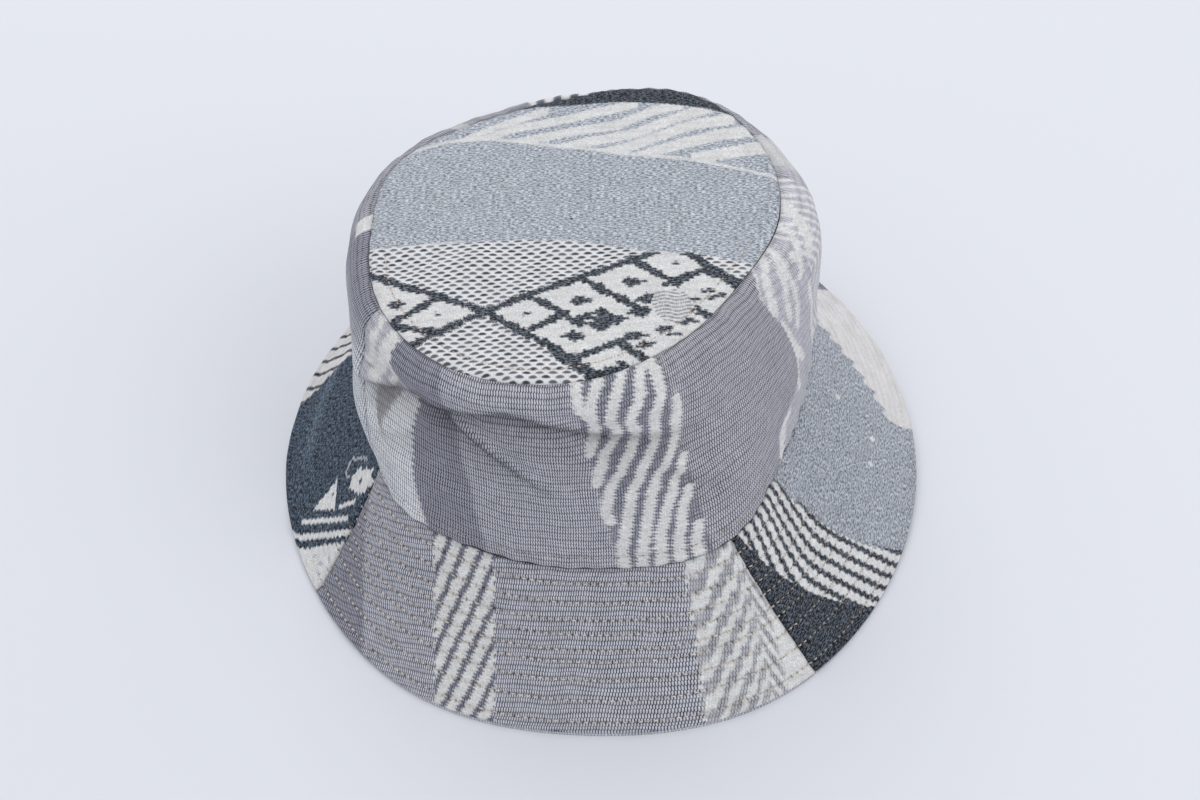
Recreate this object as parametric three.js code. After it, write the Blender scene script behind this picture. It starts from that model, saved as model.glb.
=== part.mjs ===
// Woven bucket hat, standing on its brim. Millimetres, +Z up, +X to the wearer's side, -Y the front.
// Every loop round the hat is an oval of a named width and depth, shaped by one column of `loops`.
import * as THREE from "three";

// Named sizes.
const brimWidth = 271; // outer edge of the brim, side to side
const brimDepth = 285; // outer edge of the brim, front to back
const headWidth = 177; // seam where the side wall meets the brim
const headDepth = 191;
const headHeight = 44.5; // height of that seam over the surface the hat stands on
const topWidth = 155; // seam where the side wall meets the top
const topDepth = 163;
const topHeight = 127.5; // height of that seam
const topTilt = 0.08; // rise of the top towards +X, per unit length
const topOffset = [-10.2, 6.8]; // centre of the top over that of the head seam: the crown leans
const headOffset = [4.4, -3.8]; // centre of the head seam over the brim's
const crownCloth = 1.8; // thickness of top and side wall
const brimCloth = 1.6; // upper cloth of the brim
const underCloth = 1.4; // under cloth of the brim
const seamGap = 0.3; // clearance between neighbouring pieces
const hemFlat = 2.2; // width of the hem that lies flat on the surface
const topCrown = 2.0; // rise of the middle of the top over its seam
const brimSag = 2.2; // how far the brim hangs in, between head seam and edge

// One row each 30 degrees round the hat, from +X towards the back (+Y). `brim`, `head` and `top` are
// shares of the widths and depths above. `turn` is how many degrees the brim's cloth runs on between
// head seam and edge. `lift`, the edge's height over the surface, and `rise`, the head seam's over its
// mean height, are shares of headHeight. `bend` and `belly`, the side wall's bulge at its top and
// its middle, are shares of the wall's height.
const loops = [
  { angle: 0, brim: 1.031, turn: 0, lift: 0.07, head: 0.952, rise: 0.04, top: 1.008, bend: 0.11, belly: 0.1 },
  { angle: 30, brim: 1.015, turn: 0, lift: 0.2, head: 0.988, rise: 0.04, top: 1.069, bend: 0.08, belly: 0.1 },
  { angle: 60, brim: 0.99, turn: 0, lift: 0.25, head: 0.992, rise: 0.02, top: 1.089, bend: 0.06, belly: 0.06 },
  { angle: 90, brim: 0.99, turn: 0, lift: 0.11, head: 0.998, rise: 0, top: 0.947, bend: 0.08, belly: 0.05 },
  { angle: 120, brim: 0.985, turn: 0, lift: 0, head: 1, rise: -0.02, top: 0.929, bend: 0.1, belly: 0.05 },
  { angle: 150, brim: 0.955, turn: 2, lift: 0, head: 0.995, rise: -0.04, top: 1.034, bend: 0.1, belly: 0.05 },
  { angle: 180, brim: 0.955, turn: 6, lift: 0, head: 0.957, rise: -0.01, top: 0.989, bend: 0.08, belly: 0.1 },
  { angle: 210, brim: 0.963, turn: 10, lift: 0, head: 1.09, rise: -0.02, top: 1.02, bend: 0.05, belly: 0.05 },
  { angle: 240, brim: 0.997, turn: 6, lift: 0, head: 1.026, rise: 0.01, top: 1.03, bend: 0.05, belly: 0.01 },
  { angle: 270, brim: 0.993, turn: 3, lift: 0, head: 0.983, rise: 0.02, top: 0.999, bend: 0.05, belly: 0.02 },
  { angle: 300, brim: 1.031, turn: 6, lift: 0, head: 1.049, rise: 0.13, top: 0.938, bend: 0.05, belly: 0.01 },
  { angle: 330, brim: 1.029, turn: 4, lift: 0, head: 0.923, rise: 0.02, top: 0.913, bend: 0.05, belly: 0.05 },
];

// Folds of the side wall. `angle` and `up` (share of the wall's height) place the middle, and `tilt`
// turns the fold from level, in degrees counter-clockwise seen from outside. `along` and `across` are
// its half sizes and `out` its height, negative for a crease that goes in, as shares of the wall's
// height.
const folds = [
  { angle: 217, up: 0.79, along: 0.13, across: 0.072, tilt: 10, out: -0.042 },
  { angle: 232, up: 0.82, along: 0.17, across: 0.054, tilt: 9, out: -0.031 },
  { angle: 254, up: 0.85, along: 0.24, across: 0.054, tilt: 0, out: -0.036 },
  { angle: 275, up: 0.77, along: 0.19, across: 0.054, tilt: -20, out: -0.051 },
  { angle: 291, up: 0.69, along: 0.13, across: 0.06, tilt: -3, out: -0.029 },
  { angle: 228, up: 0.91, along: 0.22, across: 0.06, tilt: 4, out: 0.019 },
  { angle: 262, up: 0.92, along: 0.36, across: 0.072, tilt: -6, out: 0.014 },
  { angle: 284, up: 0.83, along: 0.19, across: 0.072, tilt: -10, out: 0.024 },
  { angle: 249, up: 0.65, along: 0.25, across: 0.036, tilt: -42, out: -0.022 },
  { angle: 262, up: 0.66, along: 0.31, across: 0.108, tilt: -24, out: 0.019 },
  { angle: 300, up: 0.53, along: 0.22, across: 0.133, tilt: -50, out: -0.036 },
  { angle: 198, up: 0.32, along: 0.27, across: 0.193, tilt: 0, out: 0.042 },
  { angle: 208, up: 0.6, along: 0.14, across: 0.12, tilt: -60, out: 0.024 },
  { angle: 330, up: 0.5, along: 0.24, across: 0.217, tilt: 20, out: 0.018 },
];

// Columns of the grid, in degrees: fine steps between these two angles, where the folds are.
const foldsFrom = 204;
const foldsTo = 312;
const fineStep = 4;
const coarseStep = 7.5;

// Panels of the brim's upper cloth, from seam to seam in degrees round the hat.
const brimPanels = [
  { name: "brim_front", from: 204, to: 303 },
  { name: "brim_right", from: 303, to: 50 },
  { name: "brim_back", from: 50, to: 126 },
  { name: "brim_left", from: 126, to: 204 },
];
const sidePanels = [
  { name: "crown_side_front", from: 208, to: 14 },
  { name: "crown_side_back", from: 14, to: 208 },
];

const rad = Math.PI / 180;
const wallHeight = topHeight - headHeight;
const shoulderPeak = (6 / 7) ** 6 / 7; // the largest value of t^6 (1 - t)
const heelShare = 0.95; // where the brim's slope ends and its flat hem starts, in the brim's `share`

// Smooth periodic value of one column of `loops` at an angle (a Catmull-Rom spline through the rows).
function around(column, angle) {
  const n = loops.length;
  const s = ((((angle % 360) + 360) % 360) / 360) * n;
  const i = Math.floor(s);
  const t = s - i;
  const [p0, p1, p2, p3] = [i - 1, i, i + 1, i + 2].map((k) => loops[(k + n) % n][column]);
  const a = 2 * p1 + (p2 - p0) * t;
  const b = (2 * p0 - 5 * p1 + 4 * p2 - p3) * t * t;
  return 0.5 * (a + b + (3 * p1 - p0 - 3 * p2 + p3) * t ** 3);
}

// Three loops: the brim's edge, the head seam and the top seam, each a point for an angle.
function brimEdge(angle) {
  const turned = angle + around("turn", angle);
  const k = around("brim", turned);
  const c = Math.cos(turned * rad);
  const s = Math.sin(turned * rad);
  const height = brimCloth + underCloth + seamGap + headHeight * around("lift", turned);
  return new THREE.Vector3((brimWidth / 2) * k * c, (brimDepth / 2) * k * s, height);
}

function headSeam(angle) {
  const k = around("head", angle);
  const x = headOffset[0] + (headWidth / 2) * k * Math.cos(angle * rad);
  const y = headOffset[1] + (headDepth / 2) * k * Math.sin(angle * rad);
  return new THREE.Vector3(x, y, headHeight * (1 + around("rise", angle)));
}

function topSeam(angle) {
  const k = around("top", angle);
  const x = (topWidth / 2) * k * Math.cos(angle * rad);
  const y = (topDepth / 2) * k * Math.sin(angle * rad);
  const z = topHeight + topTilt * x;
  return new THREE.Vector3(headOffset[0] + topOffset[0] + x, headOffset[1] + topOffset[1] + y, z);
}

// How far the folds push the side wall out at an angle and a share of its height, as a share of it.
function foldOut(angle, share) {
  const radius = (headWidth + headDepth + topWidth + topDepth) / 8;
  let sum = 0;
  for (const fold of folds) {
    const turn = ((((angle - fold.angle + 180) % 360) + 360) % 360) - 180;
    const a = (turn * rad * radius) / wallHeight;
    const b = share - fold.up;
    const c = Math.cos(fold.tilt * rad);
    const s = Math.sin(fold.tilt * rad);
    const along = (a * c + b * s) / fold.along;
    const across = (b * c - a * s) / fold.across;
    sum += fold.out * Math.exp(-along * along - across * across);
  }
  return sum * Math.min(1, share * 6, (1 - share) * 8);
}

// The outer face of the cloth. `part` is "top", "side" or "brim", `share` runs from the middle of the
// top to its seam, from the top seam down to the head seam, or from the head seam to the brim's edge.
function outer(part, angle, share) {
  const head = headSeam(angle);
  const top = topSeam(angle);
  if (part === "top") {
    const middle = new THREE.Vector3(headOffset[0] + topOffset[0], headOffset[1] + topOffset[1], 0);
    middle.z = topHeight;
    const p = middle.clone().lerp(top, share);
    p.z += topCrown * (1 - share ** 4);
    return p;
  }
  if (part === "side") {
    const up = 1 - share;
    const tangent = headSeam(angle + 1).sub(headSeam(angle - 1));
    const outward = tangent.cross(top.clone().sub(head)).normalize();
    const round = (around("bend", angle) * up ** 6 * (1 - up)) / shoulderPeak;
    const belly = around("belly", angle) * Math.sin(Math.PI * up);
    const out = wallHeight * (round + belly + foldOut(angle, up));
    return head.lerp(top, up).addScaledVector(outward, out);
  }
  const edge = brimEdge(angle);
  const radial = new THREE.Vector3(edge.x, edge.y, 0).normalize();
  const heel = edge.clone().addScaledVector(radial, -hemFlat);
  if (share > heelShare) return heel.lerp(edge, (share - heelShare) / (1 - heelShare));
  const t = share / heelShare;
  const p = head.lerp(heel, t);
  p.z -= brimSag * Math.sin(Math.PI * t) * (1 - 0.4 * t);
  return p;
}

// Angles of the grid's columns, with one on each seam: close together where the folds are.
function columnAngles() {
  const seams = [...brimPanels, ...sidePanels].map((panel) => panel.from);
  const stops = [...new Set([0, foldsFrom, foldsTo, ...seams, 360])].sort((a, b) => a - b);
  return stops.slice(1).flatMap((stop, i) => {
    const start = stops[i];
    const step = start >= foldsFrom && start < foldsTo ? fineStep : coarseStep;
    const count = Math.ceil((stop - start) / step);
    return Array.from({ length: count }, (_, k) => start + ((stop - start) * k) / count);
  });
}

const rows = [
  ...[0.4, 0.75, 0.93].map((share) => ["top", share]),
  ["side", 0],
  ...[0.04, 0.085, 0.13, 0.175, 0.22, 0.27, 0.33, 0.4, 0.48, 0.58, 0.7, 0.85]
    .map((share) => ["side", share]),
  ["brim", 0],
  ...[0.2, 0.45, 0.72, heelShare, 1].map((share) => ["brim", share]),
];
const topRow = rows.findIndex(([part]) => part === "side");
const headRow = rows.findIndex(([part]) => part === "brim");
const edgeRow = rows.length - 1;

const angles = columnAngles();
const columns = angles.length;
const face = rows.map(([part, share]) => angles.map((angle) => outer(part, angle, share)));

// Move the whole grid so that the box round the hat is centred on the origin.
const box = new THREE.Box3().setFromPoints(face.flat());
const shift = new THREE.Vector3(-(box.min.x + box.max.x) / 2, -(box.min.y + box.max.y) / 2, 0);
for (const point of face.flat()) point.add(shift);
const middleTop = outer("top", 0, 0).add(shift);

// The way into the cloth at each grid point: the mean normal of the faces round it, made longer at a
// bend so that the cloth keeps its thickness on both sides of it.
function inward(row, column) {
  const normals = [];
  for (const [r, c] of [[row - 1, column - 1], [row - 1, column], [row, column - 1], [row, column]]) {
    if (r < 0 || r >= edgeRow) continue;
    const c0 = (c + columns) % columns;
    const c1 = (c0 + 1) % columns;
    const down = face[r + 1][c0].clone().add(face[r + 1][c1]).sub(face[r][c0]).sub(face[r][c1]);
    const side = face[r][c1].clone().add(face[r + 1][c1]).sub(face[r][c0]).sub(face[r + 1][c0]);
    normals.push(down.cross(side).normalize());
  }
  const mean = normals.reduce((sum, n) => sum.add(n), new THREE.Vector3()).normalize();
  const fit = normals.reduce((sum, n) => sum + n.dot(mean), 0) / normals.length;
  return mean.multiplyScalar(-1 / Math.max(0.75, fit));
}
const into = rows.map((_, row) => angles.map((_, column) => inward(row, column)));

// A point of the grid, `depth` into the cloth.
function at(row, column, depth) {
  const c = ((column % columns) + columns) % columns;
  const p = face[row][c].clone().addScaledVector(into[row][c], depth);
  const flat = row >= edgeRow - 1 && p.z < 0.5;
  if (flat && depth > brimCloth + seamGap) p.z = 0;
  return p;
}

const solids = new THREE.Group();

function addMesh(name, points, triangles, colour) {
  const geometry = new THREE.BufferGeometry();
  geometry.setAttribute("position", new THREE.Float32BufferAttribute(points.flatMap((p) => p.toArray()), 3));
  geometry.setIndex(triangles);
  geometry.computeVertexNormals();
  const material = new THREE.MeshStandardMaterial({ color: colour, roughness: 0.9, side: THREE.DoubleSide });
  const mesh = new THREE.Mesh(geometry, material);
  mesh.name = name;
  solids.add(mesh);
}

// One closed piece of cloth between two rows and, unless it goes all the way round, two seams.
// It stops half a seam gap short of each end, so that its neighbour has room.
function cloth(name, rowFrom, rowTo, near, far, colour, panel) {
  const start = panel ? angles.indexOf(panel.from) : 0;
  const span = panel ? (angles.indexOf(panel.to) - start + columns) % columns : columns;
  const across = rowTo - rowFrom;
  const wide = panel ? span + 1 : span;
  const points = [];
  for (const depth of [near, far])
    for (let r = 0; r <= across; r++)
      for (let c = 0; c < wide; c++) {
        const p = at(rowFrom + r, start + c, depth);
        const toward = (row, column) => at(row, column, depth).sub(at(rowFrom + r, start + c, depth));
        const step = (v) => v.normalize().multiplyScalar(seamGap / 2);
        if (r === 0 && rowFrom > 0) p.add(step(toward(rowFrom + 1, start + c)));
        if (r === across && rowTo < edgeRow) p.add(step(toward(rowTo - 1, start + c)));
        if (panel && c === 0) p.add(step(toward(rowFrom + r, start + 1)));
        if (panel && c === wide - 1) p.add(step(toward(rowFrom + r, start + c - 1)));
        points.push(p);
      }
  const layer = (across + 1) * wide;
  const id = (r, c, side) => side * layer + r * wide + (c % wide);
  const triangles = [];
  const quad = (a, b, c, d) => triangles.push(a, b, c, a, c, d);
  for (let r = 0; r < across; r++)
    for (let c = 0; c < (panel ? wide - 1 : wide); c++) {
      quad(id(r, c, 0), id(r + 1, c, 0), id(r + 1, c + 1, 0), id(r, c + 1, 0));
      quad(id(r, c, 1), id(r, c + 1, 1), id(r + 1, c + 1, 1), id(r + 1, c, 1));
    }
  for (let c = 0; c < (panel ? wide - 1 : wide); c++) {
    if (rowFrom > 0) quad(id(0, c, 0), id(0, c + 1, 0), id(0, c + 1, 1), id(0, c, 1));
    quad(id(across, c, 0), id(across, c, 1), id(across, c + 1, 1), id(across, c + 1, 0));
  }
  if (panel)
    for (let r = 0; r < across; r++) {
      quad(id(r, 0, 0), id(r, 0, 1), id(r + 1, 0, 1), id(r + 1, 0, 0));
      quad(id(r, wide - 1, 0), id(r + 1, wide - 1, 0), id(r + 1, wide - 1, 1), id(r, wide - 1, 1));
    }
  if (rowFrom === 0) {
    points.push(middleTop.clone().add(new THREE.Vector3(0, 0, -near)));
    points.push(middleTop.clone().add(new THREE.Vector3(0, 0, -far)));
    for (let c = 0; c < wide; c++) {
      triangles.push(points.length - 2, id(0, c, 0), id(0, c + 1, 0));
      triangles.push(points.length - 1, id(0, c + 1, 1), id(0, c, 1));
    }
  }
  addMesh(name, points, triangles, colour);
}

cloth("crown_top", 0, topRow, 0, crownCloth, "#a3abb5");
for (const panel of sidePanels)
  cloth(panel.name, topRow, headRow, 0, crownCloth, "#8f8f99", panel);
for (const panel of brimPanels)
  cloth(panel.name, headRow, edgeRow, 0, brimCloth, "#9a9ba4", panel);
const underNear = brimCloth + seamGap;
cloth("brim_under", headRow, edgeRow, underNear, underNear + underCloth, "#4b5560");

export default solids;
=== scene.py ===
# %% [markdown]
# # A woven bucket hat
#
# The hat is sewn from hand-woven blanket cloth: an oval top, a side wall of two panels, a brim of four
# panels stitched in nine rows to a plain under cloth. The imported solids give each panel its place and
# size. Here every panel gets a fine surface of its own, worked out from the same few ovals, and the
# blanket's pattern is laid out in each panel's own millimetres, the way a weaver charts it.
#
# The alternatives were a cloth simulation, which would lose the creases that this hat has, and an
# image for the pattern, which would not follow the threads. A chart in cloth millimetres does both.

import bpy
import numpy as np
from mathutils import Matrix


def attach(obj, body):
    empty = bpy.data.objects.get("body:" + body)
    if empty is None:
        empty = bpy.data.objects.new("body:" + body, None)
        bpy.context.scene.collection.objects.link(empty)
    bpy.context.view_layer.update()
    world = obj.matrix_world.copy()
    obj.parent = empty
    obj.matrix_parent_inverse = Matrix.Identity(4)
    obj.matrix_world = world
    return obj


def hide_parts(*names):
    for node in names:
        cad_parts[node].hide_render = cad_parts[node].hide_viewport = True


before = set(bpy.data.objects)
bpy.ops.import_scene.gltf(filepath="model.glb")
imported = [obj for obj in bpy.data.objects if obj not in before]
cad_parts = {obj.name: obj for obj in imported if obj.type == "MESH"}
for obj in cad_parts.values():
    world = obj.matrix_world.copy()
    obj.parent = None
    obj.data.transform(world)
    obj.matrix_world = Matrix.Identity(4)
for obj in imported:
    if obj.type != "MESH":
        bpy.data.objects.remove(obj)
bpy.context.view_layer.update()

MM = 0.001  # the shapes below are worked out in millimetres and stored in metres

# %% [markdown]
# ## Small formulas
#
# A few short functions serve everywhere below. The uneven edges of the threads come from a fixed
# formula and not from a random generator, so the cloth is the same at every run.

# %% Small formulas
def unit(v):
    return v / np.linalg.norm(v, axis=-1, keepdims=True)


def bell(distance, width):
    """exp(-(distance / width)^2): 1 in the middle and nearly 0 from two widths on."""
    return np.exp(-(distance / width) ** 2)


def swing(place, pitch):
    """A sine wave along a place, once for each pitch."""
    return np.sin(place * 2 * np.pi / pitch)


def dice_of(number):
    """A fixed pseudo-random share for each whole number: the fraction of a large sine."""
    return np.mod(np.sin(number * 12.9898) * 43758.5453, 1)


def jitter(number, reach):
    """A fixed pseudo-random offset for each whole number, up to half the reach either way."""
    return reach * (dice_of(number) - 0.5)


def linear(code):
    """sRGB hex to linear red, green and blue."""
    value = np.array([int(code[k:k + 2], 16) for k in (1, 3, 5)]) / 255
    return np.where(value <= 0.04045, value / 12.92, ((value + 0.055) / 1.055) ** 2.4)


print("A light rib yarn in linear light:", linear("#d2d3dd").round(3))

# %% [markdown]
# ## The ovals of the hat
#
# Three loops carry the whole shape: the brim's edge, the seam between brim and wall, and the seam
# between wall and top. Each is an oval whose radius, height and fullness change slowly round the hat,
# so one row of shares for each 30 degrees is enough, with a smooth spline through them. Angles start
# at +X, the right side, and run to the back (+Y), the left and the front.

# %% Sizes and the table of loops
brim_size = np.array([271.0, 285.0])  # side to side, front to back
head_size = np.array([177.0, 191.0])
top_size = np.array([155.0, 163.0])
head_height = 44.5
top_height = 127.5
wall_height = top_height - head_height
top_tilt = 0.08  # how steeply the top rises to the right
head_middle = np.array([4.4, -3.8])
top_middle = head_middle + np.array([-10.2, 6.8])
crown_cloth = 1.8  # thickness of each cloth
brim_cloth = 1.6
under_cloth = 1.4
seam_gap = 0.3
top_crown = 2.0  # how far the middle of the top stands above its seam
brim_sag = 2.2  # how far the slope of the brim hangs below a straight line
hem_flat = 2.2  # width of the hem that lies flat
heel_share = 0.95  # where the slope ends and the hem begins
shoulder_peak = (6 / 7) ** 6 / 7  # the largest value of up^6 * (1 - up)

LOOP_NAMES = ("brim", "turn", "lift", "head", "rise", "top", "bend", "belly")
LOOP_ROWS = np.array([
    (1.031, 0, 0.07, 0.952, 0.04, 1.008, 0.11, 0.10),
    (1.015, 0, 0.20, 0.988, 0.04, 1.069, 0.08, 0.10),
    (0.990, 0, 0.25, 0.992, 0.02, 1.089, 0.06, 0.06),
    (0.990, 0, 0.11, 0.998, 0.00, 0.947, 0.08, 0.05),
    (0.985, 0, 0.00, 1.000, -0.02, 0.929, 0.10, 0.05),
    (0.955, 2, 0.00, 0.995, -0.04, 1.034, 0.10, 0.05),
    (0.955, 6, 0.00, 0.957, -0.01, 0.989, 0.08, 0.10),
    (0.963, 10, 0.00, 1.090, -0.02, 1.020, 0.05, 0.05),
    (0.997, 6, 0.00, 1.026, 0.01, 1.030, 0.05, 0.01),
    (0.993, 3, 0.00, 0.983, 0.02, 0.999, 0.05, 0.02),
    (1.031, 6, 0.00, 1.049, 0.13, 0.938, 0.05, 0.01),
    (1.029, 4, 0.00, 0.923, 0.02, 0.913, 0.05, 0.05),
])
LOOPS = dict(zip(LOOP_NAMES, LOOP_ROWS.T))


def around(name, angle):
    """Value of one column at an angle: a Catmull-Rom cubic through the rows, closed round the hat."""
    rows = LOOPS[name]
    place = np.mod(angle, 360.0) / 360.0 * len(rows)
    i = np.floor(place).astype(int)
    t = place - i
    a, b, c, d = (rows[(i + k) % len(rows)] for k in (-1, 0, 1, 2))
    square = (2 * a - 5 * b + 4 * c - d) * t * t
    return 0.5 * (2 * b + (c - a) * t + square + (3 * b - a - 3 * c + d) * t ** 3)


print("Loops have", len(LOOP_ROWS), "rows, wall is", wall_height, "mm high")

# %% [markdown]
# ## Folds
#
# The wall has settled into soft folds: one long crease under the top at the front, a thin one that
# runs down from it, and broad swellings between. Each is a small bell-shaped bump or dent, longer one
# way than the other, placed by its angle and its share of the wall's height.

# %% The folds of the wall
FOLD_ROWS = (  # angle, up, along, across, tilt, out
    (217, 0.79, 0.13, 0.072, 10, -0.042),
    (232, 0.82, 0.17, 0.054, 9, -0.031),
    (254, 0.85, 0.24, 0.054, 0, -0.036),
    (275, 0.77, 0.19, 0.054, -20, -0.051),
    (291, 0.69, 0.13, 0.060, -3, -0.029),
    (228, 0.91, 0.22, 0.060, 4, 0.019),
    (262, 0.92, 0.36, 0.072, -6, 0.014),
    (284, 0.83, 0.19, 0.072, -10, 0.024),
    (249, 0.65, 0.25, 0.036, -42, -0.022),
    (262, 0.66, 0.31, 0.108, -24, 0.019),
    (300, 0.53, 0.22, 0.133, -50, -0.036),
    (198, 0.32, 0.27, 0.193, 0, 0.042),
    (208, 0.60, 0.14, 0.120, -60, 0.024),
    (330, 0.50, 0.24, 0.217, 20, 0.018),
)
WRINKLE_ROWS = (  # finer ones of the same kind, too small for the solids
    (246, 0.665, 0.20, 0.012, -40, -0.010),
    (262, 0.865, 0.30, 0.015, -3, -0.008),
    (281, 0.700, 0.14, 0.014, -8, -0.012),
    (222, 0.790, 0.12, 0.014, 12, -0.010),
    (303, 0.300, 0.16, 0.040, 35, -0.008),
    (320, 0.700, 0.20, 0.050, 60, 0.008),
    (212, 0.450, 0.16, 0.030, -70, -0.008),
    (268, 0.200, 0.30, 0.050, 12, -0.006),
)


CREASES = (  # sharp folds: rows of angle, up, step in mm; reach above and below, edge, darkness per mm
    (((196, 0.55, 0.0), (206, 0.60, 2.4), (213, 0.67, 4.2), (221, 0.755, 6.4), (227, 0.785, 8.0),
      (235.5, 0.79, 8.6), (244.7, 0.825, 8.6), (252.3, 0.85, 8.4), (259.7, 0.835, 8.6), (266, 0.80, 8.2),
      (275.5, 0.73, 6.6), (287.8, 0.655, 4.0), (296, 0.63, 1.8), (306, 0.62, 0.0)), 7.0, 9.0, 1.1, 0.078),
    (((230, 0.79, 0.0), (235.5, 0.735, 4.6), (241, 0.682, 5.4), (244.5, 0.645, 5.2), (251, 0.555, 4.0),
      (255, 0.498, 2.6), (259, 0.455, 1.4), (264, 0.43, 0.0)), 6.0, 7.0, 1.2, 0.16),
    (((286, 0.52, 0.0), (293, 0.44, 1.8), (301, 0.34, 2.0), (310, 0.26, 0.0)), 5.0, 8.0, 2.0, 0.05),
    (((205, 0.36, 0.0), (213, 0.40, 2.0), (222, 0.50, 1.8), (230, 0.60, 0.0)), 5.0, 8.0, 2.0, 0.05),
)


def crease_line(rows, angle, up):
    """Distance above a crease and its step at each angle, both in millimetres."""
    at, height, step = np.array(rows).T
    turned = np.mod(angle - 180, 360) + 180
    return (up - np.interp(turned, at, height)) * wall_height, np.interp(turned, at, step, left=0, right=0)


def crease_out(angle, up):
    """Millimetres out from the creases. With d the distance above a crease, the bulge above it is
    0.35 * step * tanh(d / (1.6 * edge)) * exp(-d / reach above), and the dip below 0.65 * step *
    tanh(d / edge) * exp(d / reach below)."""
    total = 0
    for rows, above, below, edge, _ in CREASES:
        d, step = crease_line(rows, angle, up)
        bulge = 0.35 * np.tanh(np.maximum(d, 0) / (1.6 * edge)) * np.exp(-np.maximum(d, 0) / above)
        dip = 0.65 * np.tanh(np.minimum(d, 0) / edge) * np.exp(np.minimum(d, 0) / below)
        total = total + step * (bulge + dip)
    return total * np.minimum(1, np.minimum(up * 6, (1 - up) * 10))


def crease_shade(angle, up):
    """The cloth is darker where it is folded in and never sees much light: a soft line along each
    crease, and the dip below it."""
    shade = 1 - 0.34 * (1 - np.exp(np.minimum(crease_out(angle, up), 0) / 2.0))
    for rows, _, _, edge, dark in CREASES:
        d, step = crease_line(rows, angle, up)
        shade = shade * (1 - dark * step * bell(d - 0.3, 0.4 + 1.2 * edge))
    return shade


def fold_out(angle, up, rows):
    """Sum of bells, long along the fold and short across it, as shares of the wall's height. `along`
    and `across` are the place seen from the fold's middle, turned by its tilt."""
    radius = (head_size.sum() + top_size.sum()) / 8
    total = 0
    for middle, height, length, width, tilt, out in rows:
        turned = np.mod(angle - middle + 180, 360) - 180
        x, y = np.radians(turned) * radius / wall_height, up - height
        c, s = np.cos(np.radians(tilt)), np.sin(np.radians(tilt))
        along, across = x * c + y * s, y * c - x * s
        total = total + out * bell(along, length) * bell(across, width)
    return total * np.minimum(1, np.minimum(up * 6, (1 - up) * 8))


print(len(FOLD_ROWS), "folds and", len(WRINKLE_ROWS), "fine wrinkles")

# %% [markdown]
# ## The outer face of the cloth
#
# Top, wall and brim are each a function of an angle and a share: from the middle of the top to its
# seam, from that seam down to the brim, and from there to the edge. Everything is moved by one shift
# that centres the hat on the origin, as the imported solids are.

# %% Faces as functions of angle and share
def oval(size, middle, k, angle, height):
    """Point of an oval: middle + half size * share * (cos, sin), at a height."""
    turn = np.radians(angle)
    x = middle[0] + size[0] / 2 * k * np.cos(turn)
    y = middle[1] + size[1] / 2 * k * np.sin(turn)
    return np.stack([x, y, height + 0 * x], -1)


def brim_edge(angle):
    turned = angle + around("turn", angle)
    height = brim_cloth + under_cloth + seam_gap + head_height * around("lift", turned)
    return oval(brim_size, (0, 0), around("brim", turned), turned, height)


def head_seam(angle):
    return oval(head_size, head_middle, around("head", angle), angle, head_height * (1 + around("rise", angle)))


def top_seam(angle):
    tilted = top_height + top_tilt * top_size[0] / 2 * around("top", angle) * np.cos(np.radians(angle))
    return oval(top_size, top_middle, around("top", angle), angle, tilted)


edge_ring = brim_edge(np.arange(0, 360, 0.5))
shift = np.append(-(edge_ring.min(0) + edge_ring.max(0))[:2] / 2, 0)
top_centre = np.array([*top_middle, top_height])


def top_reach(angle):
    """Millimetres from the middle of the top to its seam."""
    return np.linalg.norm(top_seam(angle) - top_centre, axis=-1)


def top_face(angle, share):
    """Straight from the middle to the seam, plus a low dome of top_crown * (1 - share^4)."""
    p = top_centre + (top_seam(angle) - top_centre) * share[..., None]
    p[..., 2] += top_crown * (1 - share ** 4)
    return p + shift


def side_face(angle, share):
    """Straight from seam to seam, pushed out by a shoulder near the top, a belly and the folds."""
    up = 1 - share
    head, top = head_seam(angle), top_seam(angle)
    outward = unit(np.cross(head_seam(angle + 1) - head_seam(angle - 1), top - head))
    shoulder = around("bend", angle) * up ** 6 * (1 - up) / shoulder_peak
    belly = around("belly", angle) * np.sin(np.pi * up)
    out = shoulder + belly + fold_out(angle, up, FOLD_ROWS) + fold_out(angle, up, WRINKLE_ROWS)
    out = out + crease_out(angle, up) / wall_height
    return head + (top - head) * up[..., None] + outward * (wall_height * out)[..., None] + shift


def brim_face(angle, share):
    """A slope that sags a little from the head seam to the heel, then a flat hem out to the edge."""
    head, edge = head_seam(angle), brim_edge(angle)
    heel = edge - unit(edge * [1, 1, 0]) * hem_flat
    t = np.minimum(share / heel_share, 1)[..., None]
    p = head + (heel - head) * t
    p[..., 2] -= (brim_sag * np.sin(np.pi * t) * (1 - 0.4 * t))[..., 0]
    beyond = np.clip((share - heel_share) / (1 - heel_share), 0, 1)[..., None]
    return p + (edge - heel) * beyond + shift


def face_normal(face, angle, share):
    """Unit normal: the cross product of two short steps on the face, down its share and round it."""
    low, high = np.clip(share - 0.004, 0, 1), np.clip(share + 0.004, 0, 1)
    down = face(angle, high) - face(angle, low)
    side = face(angle + 0.2, share) - face(angle - 0.2, share)
    return unit(np.cross(down, side))


print("Shift that centres the hat:", shift.round(3), "mm")

# %% [markdown]
# ## Cloth as a closed mesh
#
# A panel is one grid of points: a fine outer layer that carries the folds and the pattern, a coarser
# inner layer with every fourth point, and a strip of faces round the rim that joins the two. Solidify
# could make the wall too, but it would copy all the fine faces to a side that nobody sees.

# %% From a grid to a closed panel
COARSE = 4  # the inner layer keeps every fourth point
SHAPES = {}  # every piece made, by its name


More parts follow.
